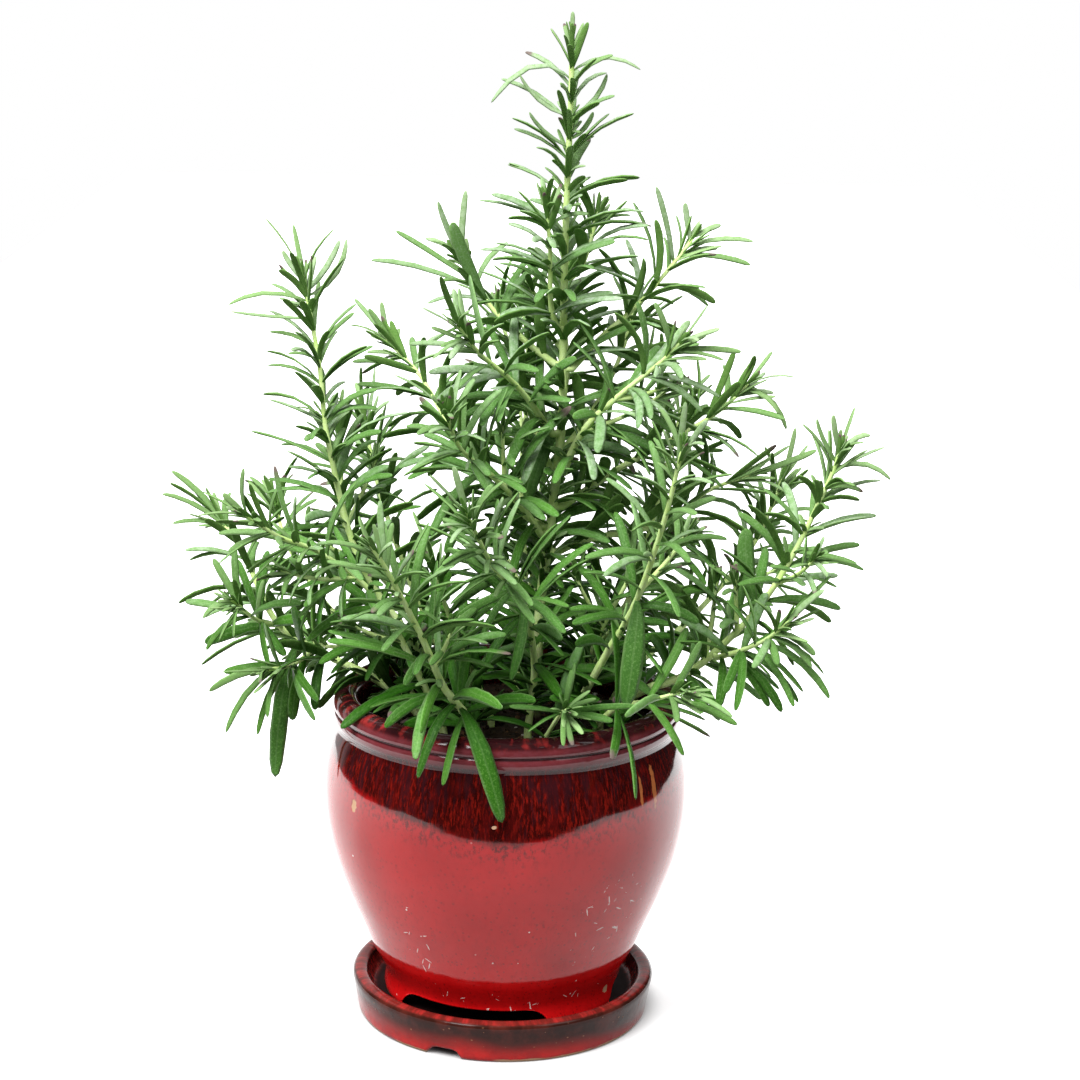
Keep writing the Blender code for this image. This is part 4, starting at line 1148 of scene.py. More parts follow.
@dataclass
class Pot:
    """The pot: a round belly under a rolled and grooved lip, on three feet. Sizes are mm."""

    feet_bottom: float = 8.9
    foot_radius: float = 49.8
    foot_wall: float = 8.5
    arch_top: float = 17.6
    arch_width: float = 64.0
    arch_turn: float = -16.0
    underside: float = 18.6
    floor: float = 26.0
    drain_radius: float = 7.0
    lip_radius: float = 71.4
    lip_bottom: float = 127.2
    lip_middle: float = 133.0
    lip_roll: tuple[float, float] = (5.7, 5.8)
    groove_height: float = 131.8
    groove_depth: float = 0.7
    belly_outside: Outline = field(default_factory=lambda: [
        (69.7, 125.2), (72.6, 117.5), (74.6, 107.0), (75.0, 95.0), (73.7, 82.5), (70.6, 69.0), (65.7, 55.0),
        (60.1, 42.0), (55.0, 30.0), (50.6, 22.0), (49.3, 17.0), (49.8, 11.5)])
    belly_inside: Outline = field(default_factory=lambda: [
        (40.0, 26.5), (55.0, 45.0), (65.4, 72.0), (68.8, 96.0), (66.8, 114.0), (62.4, 126.0)])
    segments: int = 216

    def outline(self) -> Outline:
        """Draws the section.

        Returns:
            Its (radius, height) points from the inner edge of the feet, up the outside and down the inside.
        """
        foot = self.foot_radius - self.foot_wall
        centre = (self.lip_radius - self.lip_roll[0], self.lip_middle)
        belly = curved(self.belly_outside[::-1], 5)
        inside = curved(self.belly_inside[::-1], 3)
        edge = self.lip_radius - 0.2
        groove = [(edge, self.groove_height - 0.9), (edge - 0.35, self.groove_height - 0.5),
                  (edge - self.groove_depth, self.groove_height - 0.15),
                  (edge - self.groove_depth, self.groove_height + 0.15),
                  (edge - 0.3, self.groove_height + 0.5), (edge + 0.05, self.groove_height + 0.85)]
        return [(foot + 1.2, self.feet_bottom), (self.foot_radius - 1.2, self.feet_bottom),
                (self.foot_radius - 0.4, self.feet_bottom + 0.5), *belly,
                (self.lip_radius - 1.1, self.lip_bottom - 0.5),
                (self.lip_radius - 0.45, self.lip_bottom + 0.5),
                (self.lip_radius - 0.25, self.lip_bottom + 1.8), *groove,
                *arc(centre, self.lip_roll, 2, 180, 18), *inside,
                (24.0, self.floor + 0.2), (self.drain_radius, self.floor),
                (self.drain_radius, self.underside + 0.4), (self.drain_radius + 0.5, self.underside),
                (foot - 0.6, self.underside), (foot, self.underside - 0.8),
                (foot + 0.4, self.feet_bottom + 0.8)]

    def arched(self, points: Points) -> Points:
        """Lifts the foot ring over the three arches, and gathers the wall above it.

        Args:
            points: The points in mm.

        Returns:
            Their new places.
        """
        moved = points.copy()
        reach = np.hypot(points[:, 0], points[:, 1])
        foot = self.foot_radius - self.foot_wall
        reaches, heights = zip(*self.belly_outside[::-1])
        for third in range(3):
            turn = self.arch_turn + 120 * third
            lift = arch_height(points, turn, self.arch_width, self.arch_top, self.feet_bottom - 4.0)
            raised = (reach > foot - 0.7) & (points[:, 2] < lift)
            moved[raised, 2] = lift[raised]
            outer = raised & (reach > foot + 3.0)
            wall = np.interp(lift[outer], heights, reaches)
            moved[outer, :2] *= (wall / reach[outer])[:, None]
        return moved

    def build(self, finish: PotFinish) -> None:
        """Makes the pot, dresses it and sets it in the frame.

        Args:
            finish: The glaze.
        """
        piece = Bench.throw("pot_glazed", self.outline(), self.segments, ring=True)
        Bench.reshape(piece, lambda points: hand_made(points, 0.2, 0.03, 1.0))
        Bench.reshape(piece, self.arched)
        Bench.weld(piece)
        piece.data.materials.append(finish.material)
        Bench.deliver(piece, ["pot"], "pot_glaze")


@dataclass
class Compost:
    """The potting compost: a rough, slightly heaped surface strewn with crumbs and grains. Sizes are mm."""

    edge_radius: float = 63.2
    edge_height: float = 121.3
    top: float = 124.3
    bottom_radius: float = 39.4
    bottom: float = 26.8
    rings: int = 26
    roughness: float = 1.1
    crumbs: int = 620
    segments: int = 96

    def outline(self) -> Outline:
        """Draws the section.

        Returns:
            Its (radius, height) points from the bottom's middle, out, up the pot's wall and in to the top.
        """
        wall = curved([(self.bottom_radius, self.bottom), (54.2, 45.0), (64.6, 72.0), (68.0, 96.0),
                       (66.0, 114.0), (self.edge_radius, self.edge_height - 1.0)], 2)
        rise = self.top - self.edge_height
        surface = [(self.edge_radius * (1.0 - step / self.rings),
                    self.edge_height + rise * math.sin(0.5 * math.pi * step / self.rings))
                   for step in range(1, self.rings)]
        return [(8.0, self.bottom), *wall, (self.edge_radius, self.edge_height), *surface]

    def surface_height(self, x: float, y: float) -> float:
        """Measures the rough surface.

        Args:
            x: How far right of the axis, in mm.
            y: How far behind it, in mm.

        Returns:
            The height there in mm.
        """
        reach = min(math.hypot(x, y) / self.edge_radius, 1.0)
        rise = self.edge_height + (self.top - self.edge_height) * math.cos(0.5 * math.pi * reach)
        fine = 0.5 * noise.noise(Vector((x / 2.2, y / 2.2, 9.0)))
        rough = noise.noise(Vector((x / 5.5, y / 5.5, 3.0))) + fine
        return rise + self.roughness * rough * min(1.0, 6.0 * (1.02 - reach))

    def roughened(self, points: Points) -> Points:
        """Gives the top its unevenness.

        Args:
            points: The points in mm.

        Returns:
            Their new places.
        """
        moved = points.copy()
        for index, (x, y, z) in enumerate(points):
            if z > self.edge_height - 0.5:
                moved[index, 2] = self.surface_height(x, y)
        return moved

    def strew(self, finish: SoilFinish) -> Piece:
        """Models one crumb and strews copies of it over the surface, each of its own size, turn and tone.

        Args:
            finish: The look of compost.

        Returns:
            The crumbs, in one mesh.
        """
        Bench.clear()
        bpy.ops.mesh.primitive_ico_sphere_add(subdivisions=1, radius=1.0)
        crumb = Bench.start("crumb")
        bpy.ops.transform.resize(value=(1.0, 0.8, 0.62), center_override=(0, 0, 0))
        bpy.ops.object.mode_set(mode="OBJECT")
        shape, faces = Bench.pattern(crumb)
        draw = random.Random("crumbs")
        places, tones = [], []
        for _ in range(self.crumbs):
            reach = (self.edge_radius - 2.5) * math.sqrt(draw.random())
            turn = draw.uniform(0.0, math.tau)
            x, y = reach * math.cos(turn), reach * math.sin(turn)
            size = 0.5 + 1.6 * draw.random() ** 2.4
            spin = Matrix.Rotation(draw.uniform(0, math.tau), 3, "Z")
            spin = spin @ Matrix.Rotation(draw.uniform(-0.6, 0.6), 3, "X")
            own = shape * np.array([draw.uniform(0.6, 1.5), 1.0, draw.uniform(0.6, 1.1)])
            ragged = np.array([[draw.uniform(0.75, 1.2)] for _ in own])
            place = np.array([x, y, self.surface_height(x, y) + 0.25 * size])
            places.append((own * ragged * size) @ np.array(spin).T + place)
            tones += [(draw.random(), 0.0, 0.0)] * len(shape)
        strewn = Bench.copies("crumbs", places, faces)
        paint(strewn.data, "tone", np.array(tones))
        strewn.data.materials.append(finish.material)
        return strewn

    def build(self, finish: SoilFinish) -> None:
        """Makes the compost, dresses it and sets it in the frame.

        Args:
            finish: The look of compost.
        """
        piece = Bench.throw("compost", self.outline(), self.segments, ring=False)
        Bench.reshape(piece, self.roughened)
        paint(piece.data, "tone", np.zeros((len(piece.data.vertices), 3)))
        piece.data.materials.append(finish.material)
        piece = Bench.join([piece, self.strew(finish)])
        Bench.deliver(piece, ["soil"], "potting_soil")


def paint(mesh: bpy.types.Mesh, name: str, values: Points) -> None:
    """Writes an attribute that a finish reads, one number or one vector for each point."""
    kind, key = ("FLOAT", "value") if values.ndim == 1 else ("FLOAT_VECTOR", "vector")
    mesh.attributes.new(name, kind, "POINT").data.foreach_set(key, values.astype(float).ravel())


class LeafKind(Enum):
    """How a leaf came to its shoot."""

    PLACED = "placed one by one"
    PAIR = "in the crossed pairs of the solids"
    LOW = "in pairs under those"
    SPRIG = "on the small side sprigs"
    TUFT = "in the small side buds"
    BUD = "at the growing tip"


@dataclass
class Leaf:
    """One leaf, its width in mm, its stem's direction, and where it starts in the leafy part of its shoot."""

    curve: Curve
    width: float
    kind: LeafKind
    onward: Points
    share: float


@dataclass(frozen=True)
class Shoot:
    """One leafy stem: what it grows from, its radius at the foot, its bare share and its route in mm."""

    name: str
    parent: str
    foot_radius: float
    bare: float
    route: list[tuple[int, int, int]]

    THINNEST = 0.85
    SQUARE = 1.1

    def radius(self, share: float) -> float:
        """The radius at a share of the length: it tapers fast at first, then slowly to the tip."""
        return max(self.THINNEST, self.foot_radius * (1.0 - 0.62 * share ** 0.8))

    @property
    def first_turn(self) -> float:
        """The turn of the lowest pair of leaves, and of the stem's flats, in degrees."""
        return random.Random(f"{Growth.SEED} {self.name} turn").uniform(0.0, 90.0)


def unit(vector: Points) -> Points:
    """The vector at length 1."""
    return vector / np.linalg.norm(vector)


def evenly(points: Sequence[Points], spacing: float) -> Points:
    """Draws a line through points again, with its own points about so far apart.

    Args:
        points: The points that it goes through.
        spacing: How far apart the new ones lie.

    Returns:
        The new points, one row each.
    """
    points = np.array(points)
    reach = np.concatenate([[0.0], np.cumsum(np.linalg.norm(np.diff(points, axis=0), axis=1))])
    count = max(2, int(round(reach[-1] / spacing)) + 1)
    where = np.linspace(0.0, reach[-1], count)
    return np.stack([np.interp(where, reach, points[:, axis]) for axis in range(3)], axis=1)


def distances(start: Points, end: Points, starts: Points, ends: Points) -> Points:
    """Measures from one segment to each of many.

    Args:
        start: Where the one starts.
        end: Where it ends.
        starts: Where the others start, one row each.
        ends: Where they end.

    Returns:
        The shortest distance to each.
    """
    along = end - start
    others = ends - starts
    apart = start - starts
    own = along @ along
    squares = np.maximum((others * others).sum(axis=1), 1e-9)
    mixed = others @ along
    down = apart @ along
    across = (others * apart).sum(axis=1)
    spread = np.maximum(own * squares - mixed ** 2, 1e-9)
    here = np.clip((mixed * across - squares * down) / spread, 0.0, 1.0)
    there = np.clip((mixed * here + across) / squares, 0.0, 1.0)
    here = np.clip((mixed * there - down) / own, 0.0, 1.0)
    return np.linalg.norm(apart + here[:, None] * along - there[:, None] * others, axis=1)


def every(path: Points, step: int) -> Points:
    """Every second, third or later point of a path, and always its last."""
    return path[::step] if (len(path) - 1) % step == 0 else np.concatenate([path[::step], path[-1:]])


def bezier(curve: Curve, shares: Sequence[float]) -> Points:
    """The points at some shares of a quadratic curve, one row each."""
    t = np.array(shares)[:, None]
    return (1 - t) ** 2 * curve[0] + 2 * t * (1 - t) * curve[1] + t ** 2 * curve[2]


def first_side(onward: Points) -> Points:
    """The sideways direction that a stem's frames start with."""
    return unit(np.cross(onward, np.array([0.35, 1.0, 0.2])))


def carried_frames(path: Points) -> list[Points]:
    """Carries a sideways direction along a path without twisting it.

    Args:
        path: The path's points, one row each.

    Returns:
        The direction at each point but the last.
    """
    onward = np.diff(path, axis=0)
    onward /= np.linalg.norm(onward, axis=1)[:, None]
    side = first_side(onward[0])
    frames = []
    for step in onward:
        side = unit(side - (side @ step) * step)
        frames.append(side)
    return frames


class Growth:
    """The rule by which the plant grows, the same as that of its solids.

    Every draw is seeded by the shoot's name, so a leaf comes out in the same place each time.
    """

    SEED = 11
    STEM_FOOT = 118.5
    SOIL_TOP = 124.5
    LOWEST = 17.0
    GAP = 0.3
    RING_SPACING = 15.0
    PAIR_SPACING = 10.2
    SHORT_SHOOT = 70
    LEAF_LENGTH = 26.0
    CLEARANCE = 1.65
    FINE_CLEARANCE = 0.75
    BROAD = 4.0
    NARROWER = 0.85
    SPRIG_CHANCE = 0.1
    GOLDEN_TURN = 137.5
    KEPT = (0.0, 0.36, 0.68, 1.0)
    TESTED = (0.08, 0.36, 0.68, 1.0)
    LEAN = ([0.0, 0.5, 0.85, 1.0], [66.0, 54.0, 38.0, 16.0])
    ARCH = ([0.0, 0.6, 1.0], [16.0, 24.0, 8.0])
    STRETCH = {LeafKind.PAIR: (1.3, 1.85), LeafKind.LOW: (1.15, 1.6), LeafKind.SPRIG: (1.0, 1.4),
               LeafKind.TUFT: (1.0, 1.5)}

    def __init__(self, shoots: Sequence[Shoot], pot: Pot, box: tuple[Points, Points]) -> None:
        """Lays out every stem.

        Args:
            shoots: The shoots, each after the one that it grows from.
            pot: The pot, which the leaves stay clear of.
            box: The lowest and highest corner in mm that the leaves stay inside.
        """
        self.shoots = {shoot.name: shoot for shoot in shoots}
        self.names = list(self.shoots)
        self.pot = pot
        self.box = box
        self.paths: dict[str, Points] = {}
        self.pairs: dict[str, list[tuple[float, float, float]]] = {}
        self.sprigs: dict[str, list[str]] = {name: [] for name in self.names}
        for name in self.names:
            self.paths[name] = self._path(name)
        self.frames = {name: carried_frames(path) for name, path in self.paths.items()}
        self.kept = np.zeros((0, 8))
        for name, path in self.paths.items():
            line = every(path, 4)
            shares = np.linspace(0.0, 1.0, len(line))[:-1]
            self._add(name, line, np.array([self.shoots[name].radius(share) for share in shares]))

    def _section(self, middle: Points, onward: Points, side: Points, reach: float,
                 turn: float) -> list[Points]:
        """Draws one square section of a stem.

        Args:
            middle: Its middle.
            onward: The stem's direction there.
            side: The sideways direction there.
            reach: How far its corners are from its middle, in mm.
            turn: How far it is turned about the stem, in degrees.

        Returns:
            Its four corners.
        """
        corners = []
        for corner in range(4):
            around = math.radians(turn + 45 + 90 * corner)
            spoke = math.cos(around) * side + math.sin(around) * np.cross(onward, side)
            corners.append(middle + reach * spoke)
        return corners

    def _tube(self, name: str) -> BVHTree:
        """Makes a stem's square tube, to measure heights over it.

        Args:
            name: The shoot.

        Returns:
            The tube's faces, as a tree that finds the nearest of them.
        """
        path, shoot = self.paths[name], self.shoots[name]
        frames = carried_frames(path)
        count = max(3, round(len(path) / self.RING_SPACING))
        points: list[Points] = []
        for step in range(count + 1):
            share = step / count
            index = min(round(share * (len(path) - 1)), len(path) - 2)
            onward = self._onward(name, index)
            middle = path[-1] if step == count else path[index]
            reach = shoot.SQUARE * shoot.radius(share)
            points += self._section(middle, onward, frames[index], reach, shoot.first_turn)
        faces = [(3, 2, 1, 0), tuple(range(len(points) - 4, len(points)))]
        for ring in range(0, len(points) - 4, 4):
            for corner in range(4):
                after = (corner + 1) % 4
                faces.append((ring + corner, ring + after, ring + 4 + after, ring + 4 + corner))
        return BVHTree.FromPolygons(points, faces)

    def _path(self, name: str) -> Points:
        """Lays out a stem. A branch starts just clear of the surface of what it grows from.

        Args:
            name: The shoot.

        Returns:
            The points of its middle line, about 1 mm apart.
        """
        shoot = self.shoots[name]
        if shoot.parent == "soil":
            foot = (shoot.route[0][0], shoot.route[0][1], self.STEM_FOOT)
            return evenly(smooth([foot, *shoot.route], 12), 1.0)
        tube = self._tube(shoot.parent)
        fine = evenly(smooth(shoot.route, 12), 0.1)
        for index in range(len(fine) - 1):
            onward = unit(fine[index + 1] - fine[index])
            rim = self._section(fine[index], onward, first_side(onward), shoot.SQUARE * shoot.radius(0.0),
                                shoot.first_turn)
            border = [start + (end - start) * step / 6 for start, end in zip(rim, rim[1:] + rim[:1])
                      for step in range(6)]
            if all(self._height_over(tube, point) > self.GAP for point in border):
                return evenly(fine[index:], 1.0)
        raise ValueError(f"the route of {name} stays inside the stem that it grows from")

    @staticmethod
    def _height_over(tube: BVHTree, point: Points) -> float:
        """How far a point is outside a tube, or a negative length inside it."""
        nearest, normal, _, distance = tube.find_nearest(Vector(point))
        return distance if (Vector(point) - nearest).dot(normal) > 0.0 else -distance

    def _add(self, name: str, line: Points, radii: Points) -> None:
        """Keeps segments that later leaves stay clear of, as rows of start, end, radius and owner."""
        owner = np.full(len(radii), self._owner(name))
        self.kept = np.concatenate([self.kept, np.column_stack([line[:-1], line[1:], radii, owner])])

    def _owner(self, name: str) -> int:
        """The number of a shoot, or of the shoot that a sprig grows on."""
        return self.names.index(name.split(" ")[0])

    def _clear_of_pot(self, point: Points, radius: float) -> bool:
        """Tests a ball against the pot and the soil.

        Args:
            point: Its middle, in mm.
            radius: Its radius.

        Returns:
            True if it is clear of them.
        """
        reach = math.hypot(point[0], point[1])
        height = point[2]
        top = self.pot.lip_middle + self.pot.lip_roll[1]
        if height > top + radius + self.GAP:
            return True
        if reach < self.pot.lip_radius - 2 * self.pot.lip_roll[0] - radius - self.GAP:
            return height > self.SOIL_TOP + radius + self.GAP
        rows = [(self.pot.lip_radius, top), (self.pot.lip_radius, self.pot.lip_bottom),
                *self.pot.belly_outside]
        reaches, heights = zip(*reversed(rows))
        wall = np.interp(height, heights, reaches)
        return reach > wall + radius + 2 * self.GAP

    def _fits(self, name: str, curve: Curve, radius: float, gap: float, crossing: float) -> bool:
        """Whether a leaf is clear of the pot, of other stems and, past its root, of its own stem's leaves.

        Args:
            name: The shoot that it grows on.
            curve: The leaf's curve.
            radius: The room kept round its middle line.
            gap: How far it stays from what belongs to other shoots.
            crossing: How much nearer than their two radii the leaves of one shoot may come.

        Returns:
            True if the leaf has room.
        """
        line = bezier(curve, self.TESTED)
        if not all(self._clear_of_pot(point, radius) for point in line[1:]):
            return False
        reach = np.linalg.norm(curve[1] - curve[0]) + np.linalg.norm(curve[2] - curve[1]) + 30.0
        middles = (self.kept[:, :3] + self.kept[:, 3:6]) / 2
        near = self.kept[((middles - curve[0]) ** 2).sum(axis=1) < reach ** 2]
        own = near[:, 7] == self._owner(name)
        for index, (start, end) in enumerate(zip(line, line[1:])):
            spare = distances(start, end, near[:, :3], near[:, 3:6]) - near[:, 6] - radius
            if spare[~own].min(initial=math.inf) < gap:
                return False
            if index and spare[own].min(initial=math.inf) < -crossing:
                return False
        return True

    def _keep(self, name: str, curve: Curve, radius: float) -> None:
        """Records a leaf that was placed."""
        self._add(name, bezier(curve, self.KEPT), np.full(3, radius))

    def _inside(self, line: Points, margin: float) -> bool:
        """Whether all the points of a line are so far inside the box."""
        low, high = self.box
        return bool((line - margin > low).all() and (line + margin < high).all())

    def _sprout(self, name: str, where: float, around: float, lean: float, arch: float, length: float,
                lift: float = 0.0) -> Curve:
        """The middle line of a leaf.

        Args:
            name: The shoot that it grows on.
            where: How far along the shoot, in mm.
            around: Which side of the stem it leaves from, in degrees.
            lean: The angle between the stem and the leaf's lower half, in degrees.
            arch: How much further its upper half bends out, in degrees.
            length: The leaf's length in mm.
            lift: How far its root is moved along the stem, in mm.

        Returns:
            Its curve.
        """
        index, onward = self._index(name, where), self._onward(name, where)
        side = self.frames[name][index]
        first = unit(side - (side @ onward) * onward)
        out = math.cos(around) * first + math.sin(around) * np.cross(onward, first)
        root = self.paths[name][index] + lift * onward
        start = math.cos(lean) * onward + math.sin(lean) * out
        finish = math.cos(lean + arch) * onward + math.sin(lean + arch) * out - np.array([0.0, 0.0, 0.22])
        bend = root + 0.5 * length * start
        return root, bend, bend + 0.5 * length * unit(finish)

    def _pair(self, name: str, where: float, share: float, turn: float, draws: Sequence[float],
              side: int, length: float) -> Curve:
        """Draws one leaf of a crossed pair.

        Args:
            name: The shoot that it grows on.
            where: How far along the shoot, in mm.
            share: Where that is in the shoot's leafy part.
            turn: The pair's turn about the stem, in degrees.
            draws: Three chances for each leaf of the pair, from -1 to 1.
            side: Which of the two leaves it is.
            length: The leaf's length in mm.

        Returns:
            Its curve.
        """
        lean = float(np.interp(share, *self.LEAN))
        arch = float(np.interp(share, *self.ARCH))
        around = math.radians(turn + 180 * side + 14 * draws[3 * side])
        angle = math.radians(lean + 10 * draws[3 * side + 1])
        bow = math.radians(arch + 12 * draws[3 * side + 2])
        return self._sprout(name, where, around, angle, bow, length, 0.7 * side - 0.35)

    def bowed(self, leaf: Leaf, draw: random.Random) -> Leaf:
        """The leaf made longer and bowed outwards, as far as it stays in the box and clear of the pot.

        Args:
            leaf: The leaf as the growth rule gives it.
            draw: Where the chances come from.

        Returns:
            The new leaf, or the old one where it has no room.
        """
        stretch = draw.uniform(*self.STRETCH[leaf.kind]) * (1.0 - 0.36 * leaf.share ** 2)
        bow = draw.uniform(0.2, 0.75) * (1.0 - 0.5 * leaf.share)
        stray = np.array([draw.uniform(-0.32, 0.32) for _ in range(3)])
        root, bend, tip = leaf.curve
        first, last = unit(bend - root), unit(tip - bend)
        out = unit(last - (last @ leaf.onward) * leaf.onward)
        start = unit(first + 0.6 * bow * leaf.onward)
        finish = unit(last + bow * out + stray - np.array([0.0, 0.0, 0.3 * bow]))
        length = np.linalg.norm(bend - root) + np.linalg.norm(tip - bend)
        for factor in (stretch, (1.0 + stretch) / 2, 1.0):
            bend = root + 0.5 * factor * length * start
            tip = bend + 0.5 * factor * length * finish
            line = bezier((root, bend, tip), (0.4, 0.7, 1.0))
            if self._inside(line, 1.2) and all(self._clear_of_pot(point, 1.0) for point in line):
                return replace(leaf, curve=(root, bend, tip))
        return leaf

    def _index(self, name: str, where: float) -> int:
        """The number of the point of a stem's path that lies so far along it."""
        return min(int(where), len(self.paths[name]) - 2)

    def _onward(self, name: str, where: float) -> Points:
        """The stem's direction so far along it."""
        path, index = self.paths[name], self._index(name, where)
        return unit(path[index + 1] - path[index])

    def placed(self, name: str) -> list[Leaf]:
        """Grows the shoot's leaves that are placed one by one.

        Args:
            name: The shoot.

        Returns:
            Those that have room.
        """
        path = self.paths[name]
        leaves = []
        for share, bend, tip, width in KEY_LEAVES.get(name, []):
            where = round(share * (len(path) - 1))
            curve = (path[where], np.array(bend, float), np.array(tip, float))
            radius = max(self.CLEARANCE, width / 2)
            if self._fits(name, curve, radius, self.GAP, crossing=2 * radius):
                self._keep(name, curve, radius)
                drawn = width if width > self.BROAD else self.NARROWER * width
                leaves.append(Leaf(curve, drawn, LeafKind.PLACED, self._onward(name, where), share))
        return leaves

    def paired(self, name: str) -> list[Leaf]:
        """Grows the shoot's leaves in crossed pairs, from the end of its bare part to its tip.

        Args:
            name: The shoot.

        Returns:
            The leaves.
        """
        draw = random.Random(f"{self.SEED} {name}")
        shoot = self.shoots[name]
        last = len(self.paths[name]) - 2
        bare = shoot.bare * last
        scale = 1.0 if last > self.SHORT_SHOOT else 0.86
        turn = shoot.first_turn
        where = bare + draw.uniform(0.0, 3.0)
        leaves: list[Leaf] = []
        self.pairs[name] = []
        while where < last + 1:
            share = (where - bare) / (last - bare)
            size = self.LEAF_LENGTH * scale * leaf_length(share)
            draws = [draw.uniform(-1.0, 1.0) for _ in range(6)]
            sizes = [draw.uniform(0.86, 1.14) for _ in range(2)]
            self.pairs[name].append((where, share, turn))
            for side in range(2):
                for change in (0, 16, -16, 32, -32, 50, -50):
                    length = size * sizes[side] * (1.0 - 0.004 * abs(change))
                    curve = self._pair(name, where, share, turn + change, draws, side, length)
                    if self._fits(name, curve, self.CLEARANCE, self.GAP, 0.2):
                        self._keep(name, curve, self.CLEARANCE)
                        width = leaf_width(share) * (0.7 + 0.3 * sizes[side])
                        leaves.append(Leaf(curve, width, LeafKind.PAIR, self._onward(name, where), share))
                        break
            turn += 90.0
            where += self.PAIR_SPACING * (1.0 - 0.38 * share)
        return leaves

    def filled(self, name: str) -> list[Leaf]:
        """Grows the finer leaves that the solids leave out: low down, where a pair lost one, and in buds.

        Args:
            name: The shoot.

        Returns:
            The leaves.
        """
        draw = random.Random(f"{self.SEED} {name} more")
        scale = 1.0 if len(self.paths[name]) - 2 > self.SHORT_SHOOT else 0.86
        refill = 1.0 if name == "trunk" else 0.6 if self.paths[name][-1][0] > 40.0 else 0.85
        rows = [(*row, LeafKind.PAIR) for row in self.pairs[name] if draw.random() < refill]
        where = self.LOWEST if self.shoots[name].parent == "soil" else 5.0
        while where < self.pairs[name][0][0] - 4.0:
            rows.append((where, 0.0, draw.uniform(0.0, 180.0), LeafKind.LOW))
            where += draw.uniform(2.6, 4.6)
        leaves: list[Leaf] = []
        for where, share, turn, kind in rows:
            for side in range(2):
                draws = [draw.uniform(-1.0, 1.0) for _ in range(6)]
                length = self.LEAF_LENGTH * scale * max(0.9, leaf_length(share)) * draw.uniform(0.8, 1.1)
                for change in (0, 14, -14, 28, -28):
                    curve = self._pair(name, where, share, turn + change, draws, side, length)
                    width = leaf_width(share) * draw.uniform(0.72, 1.02)
                    if self._try(name, curve, width, kind, where, share, leaves):
                        break
            if share < 0.9:
                leaves += self._tufts(name, where, share, turn, draw)
        leaves += self._bud(name, draw, 10)
        return leaves

    def branched(self, name: str) -> list[Leaf]:
        """Grows the small side sprigs in a shoot's axils, and keeps their paths.

        Args:
            name: The shoot.

        Returns:
            The sprigs' leaves.
        """
        draw = random.Random(f"{self.SEED} {name} sprigs")
        leaves: list[Leaf] = []
        for where, share, turn in self.pairs[name]:
            for side in range(2):
                length = draw.uniform(26.0, 46.0) * (1.0 - 0.4 * share)
                lean = draw.uniform(0.6, 0.95)
                around = math.radians(turn + 180 * side + draw.uniform(-12.0, 12.0))
                short = share > 0.55 or len(self.paths[name]) < self.SHORT_SHOOT
                if draw.random() > self.SPRIG_CHANCE or short:
                    continue
                root, bend, _ = self._sprout(name, where + 1.0, around, lean, 0.0, length)
                rise = unit(bend - root) + np.array([0.0, 0.0, 0.55])
                curve = (root, bend, bend + 0.5 * length * unit(rise))
                if self._inside(np.array(curve), 6.0) and self._fits(name, curve, 1.0, 0.2, 2.2):
                    sprig = f"{name} sprig {len(self.sprigs[name]) + 1}"
                    self.sprigs[name].append(sprig)
                    leaves += self._sprig(sprig, curve, draw)
        return leaves

    def _sprig(self, sprig: str, curve: Curve, draw: random.Random) -> list[Leaf]:
        """Grows one side sprig, in crossed pairs that shorten towards its tip.

        Args:
            sprig: The sprig's name.
            curve: Its middle line.
            draw: Where the chances come from.

        Returns:
            Its leaves.
        """
        path = evenly(bezier(curve, [step / 12 for step in range(13)]), 1.0)
        self.paths[sprig] = path
        self.frames[sprig] = carried_frames(path)
        self._add(sprig, path[::4], np.full(len(path[::4]) - 1, 0.8))
        leaves: list[Leaf] = []
        where, turn = 4.0, draw.uniform(0.0, 90.0)
        while where < len(path) - 2:
            share = where / len(path)
            for side in range(2):
                draws = [draw.uniform(-1.0, 1.0) for _ in range(6)]
                length = self.LEAF_LENGTH * float(np.interp(share, [0.0, 0.4, 1.0], [0.8, 0.9, 0.5]))
                length *= draw.uniform(0.85, 1.15)
                own = self._pair(sprig, where, 0.3 + 0.65 * share, turn, draws, side, length)
                width = 0.85 * leaf_width(0.3 + 0.7 * share) * draw.uniform(0.85, 1.1)
                self._try(sprig, own, width, LeafKind.SPRIG, where, 0.45 + 0.5 * share, leaves)
            turn += 90.0
            where += 7.0 - 3.0 * share
        return leaves + self._bud(sprig, draw, 6)

    def _try(self, name: str, curve: Curve, width: float, kind: LeafKind, where: float,
             share: float, leaves: list[Leaf]) -> bool:
        """Keeps a finer leaf if it has room and stays in the box.

        Args:
            name: The shoot that it grows on.
            curve: The leaf's middle line.
            width: The leaf's width in mm.
            kind: What the leaf is.
            where: How far along the shoot it starts, in mm.
            share: Where that is in the shoot's leafy part.
            leaves: The list that it joins.

        Returns:
            True if it was kept.
        """
        radius = self.FINE_CLEARANCE if width > 2.0 else 0.45
        inside = self._inside(bezier(curve, (0.5, 0.8, 1.0)), 1.0)
        if not inside or not self._fits(name, curve, radius, 0.0, 1.1):
            return False
        self._keep(name, curve, radius)
        leaves.append(Leaf(curve, width, kind, self._onward(name, where), share))
        return True

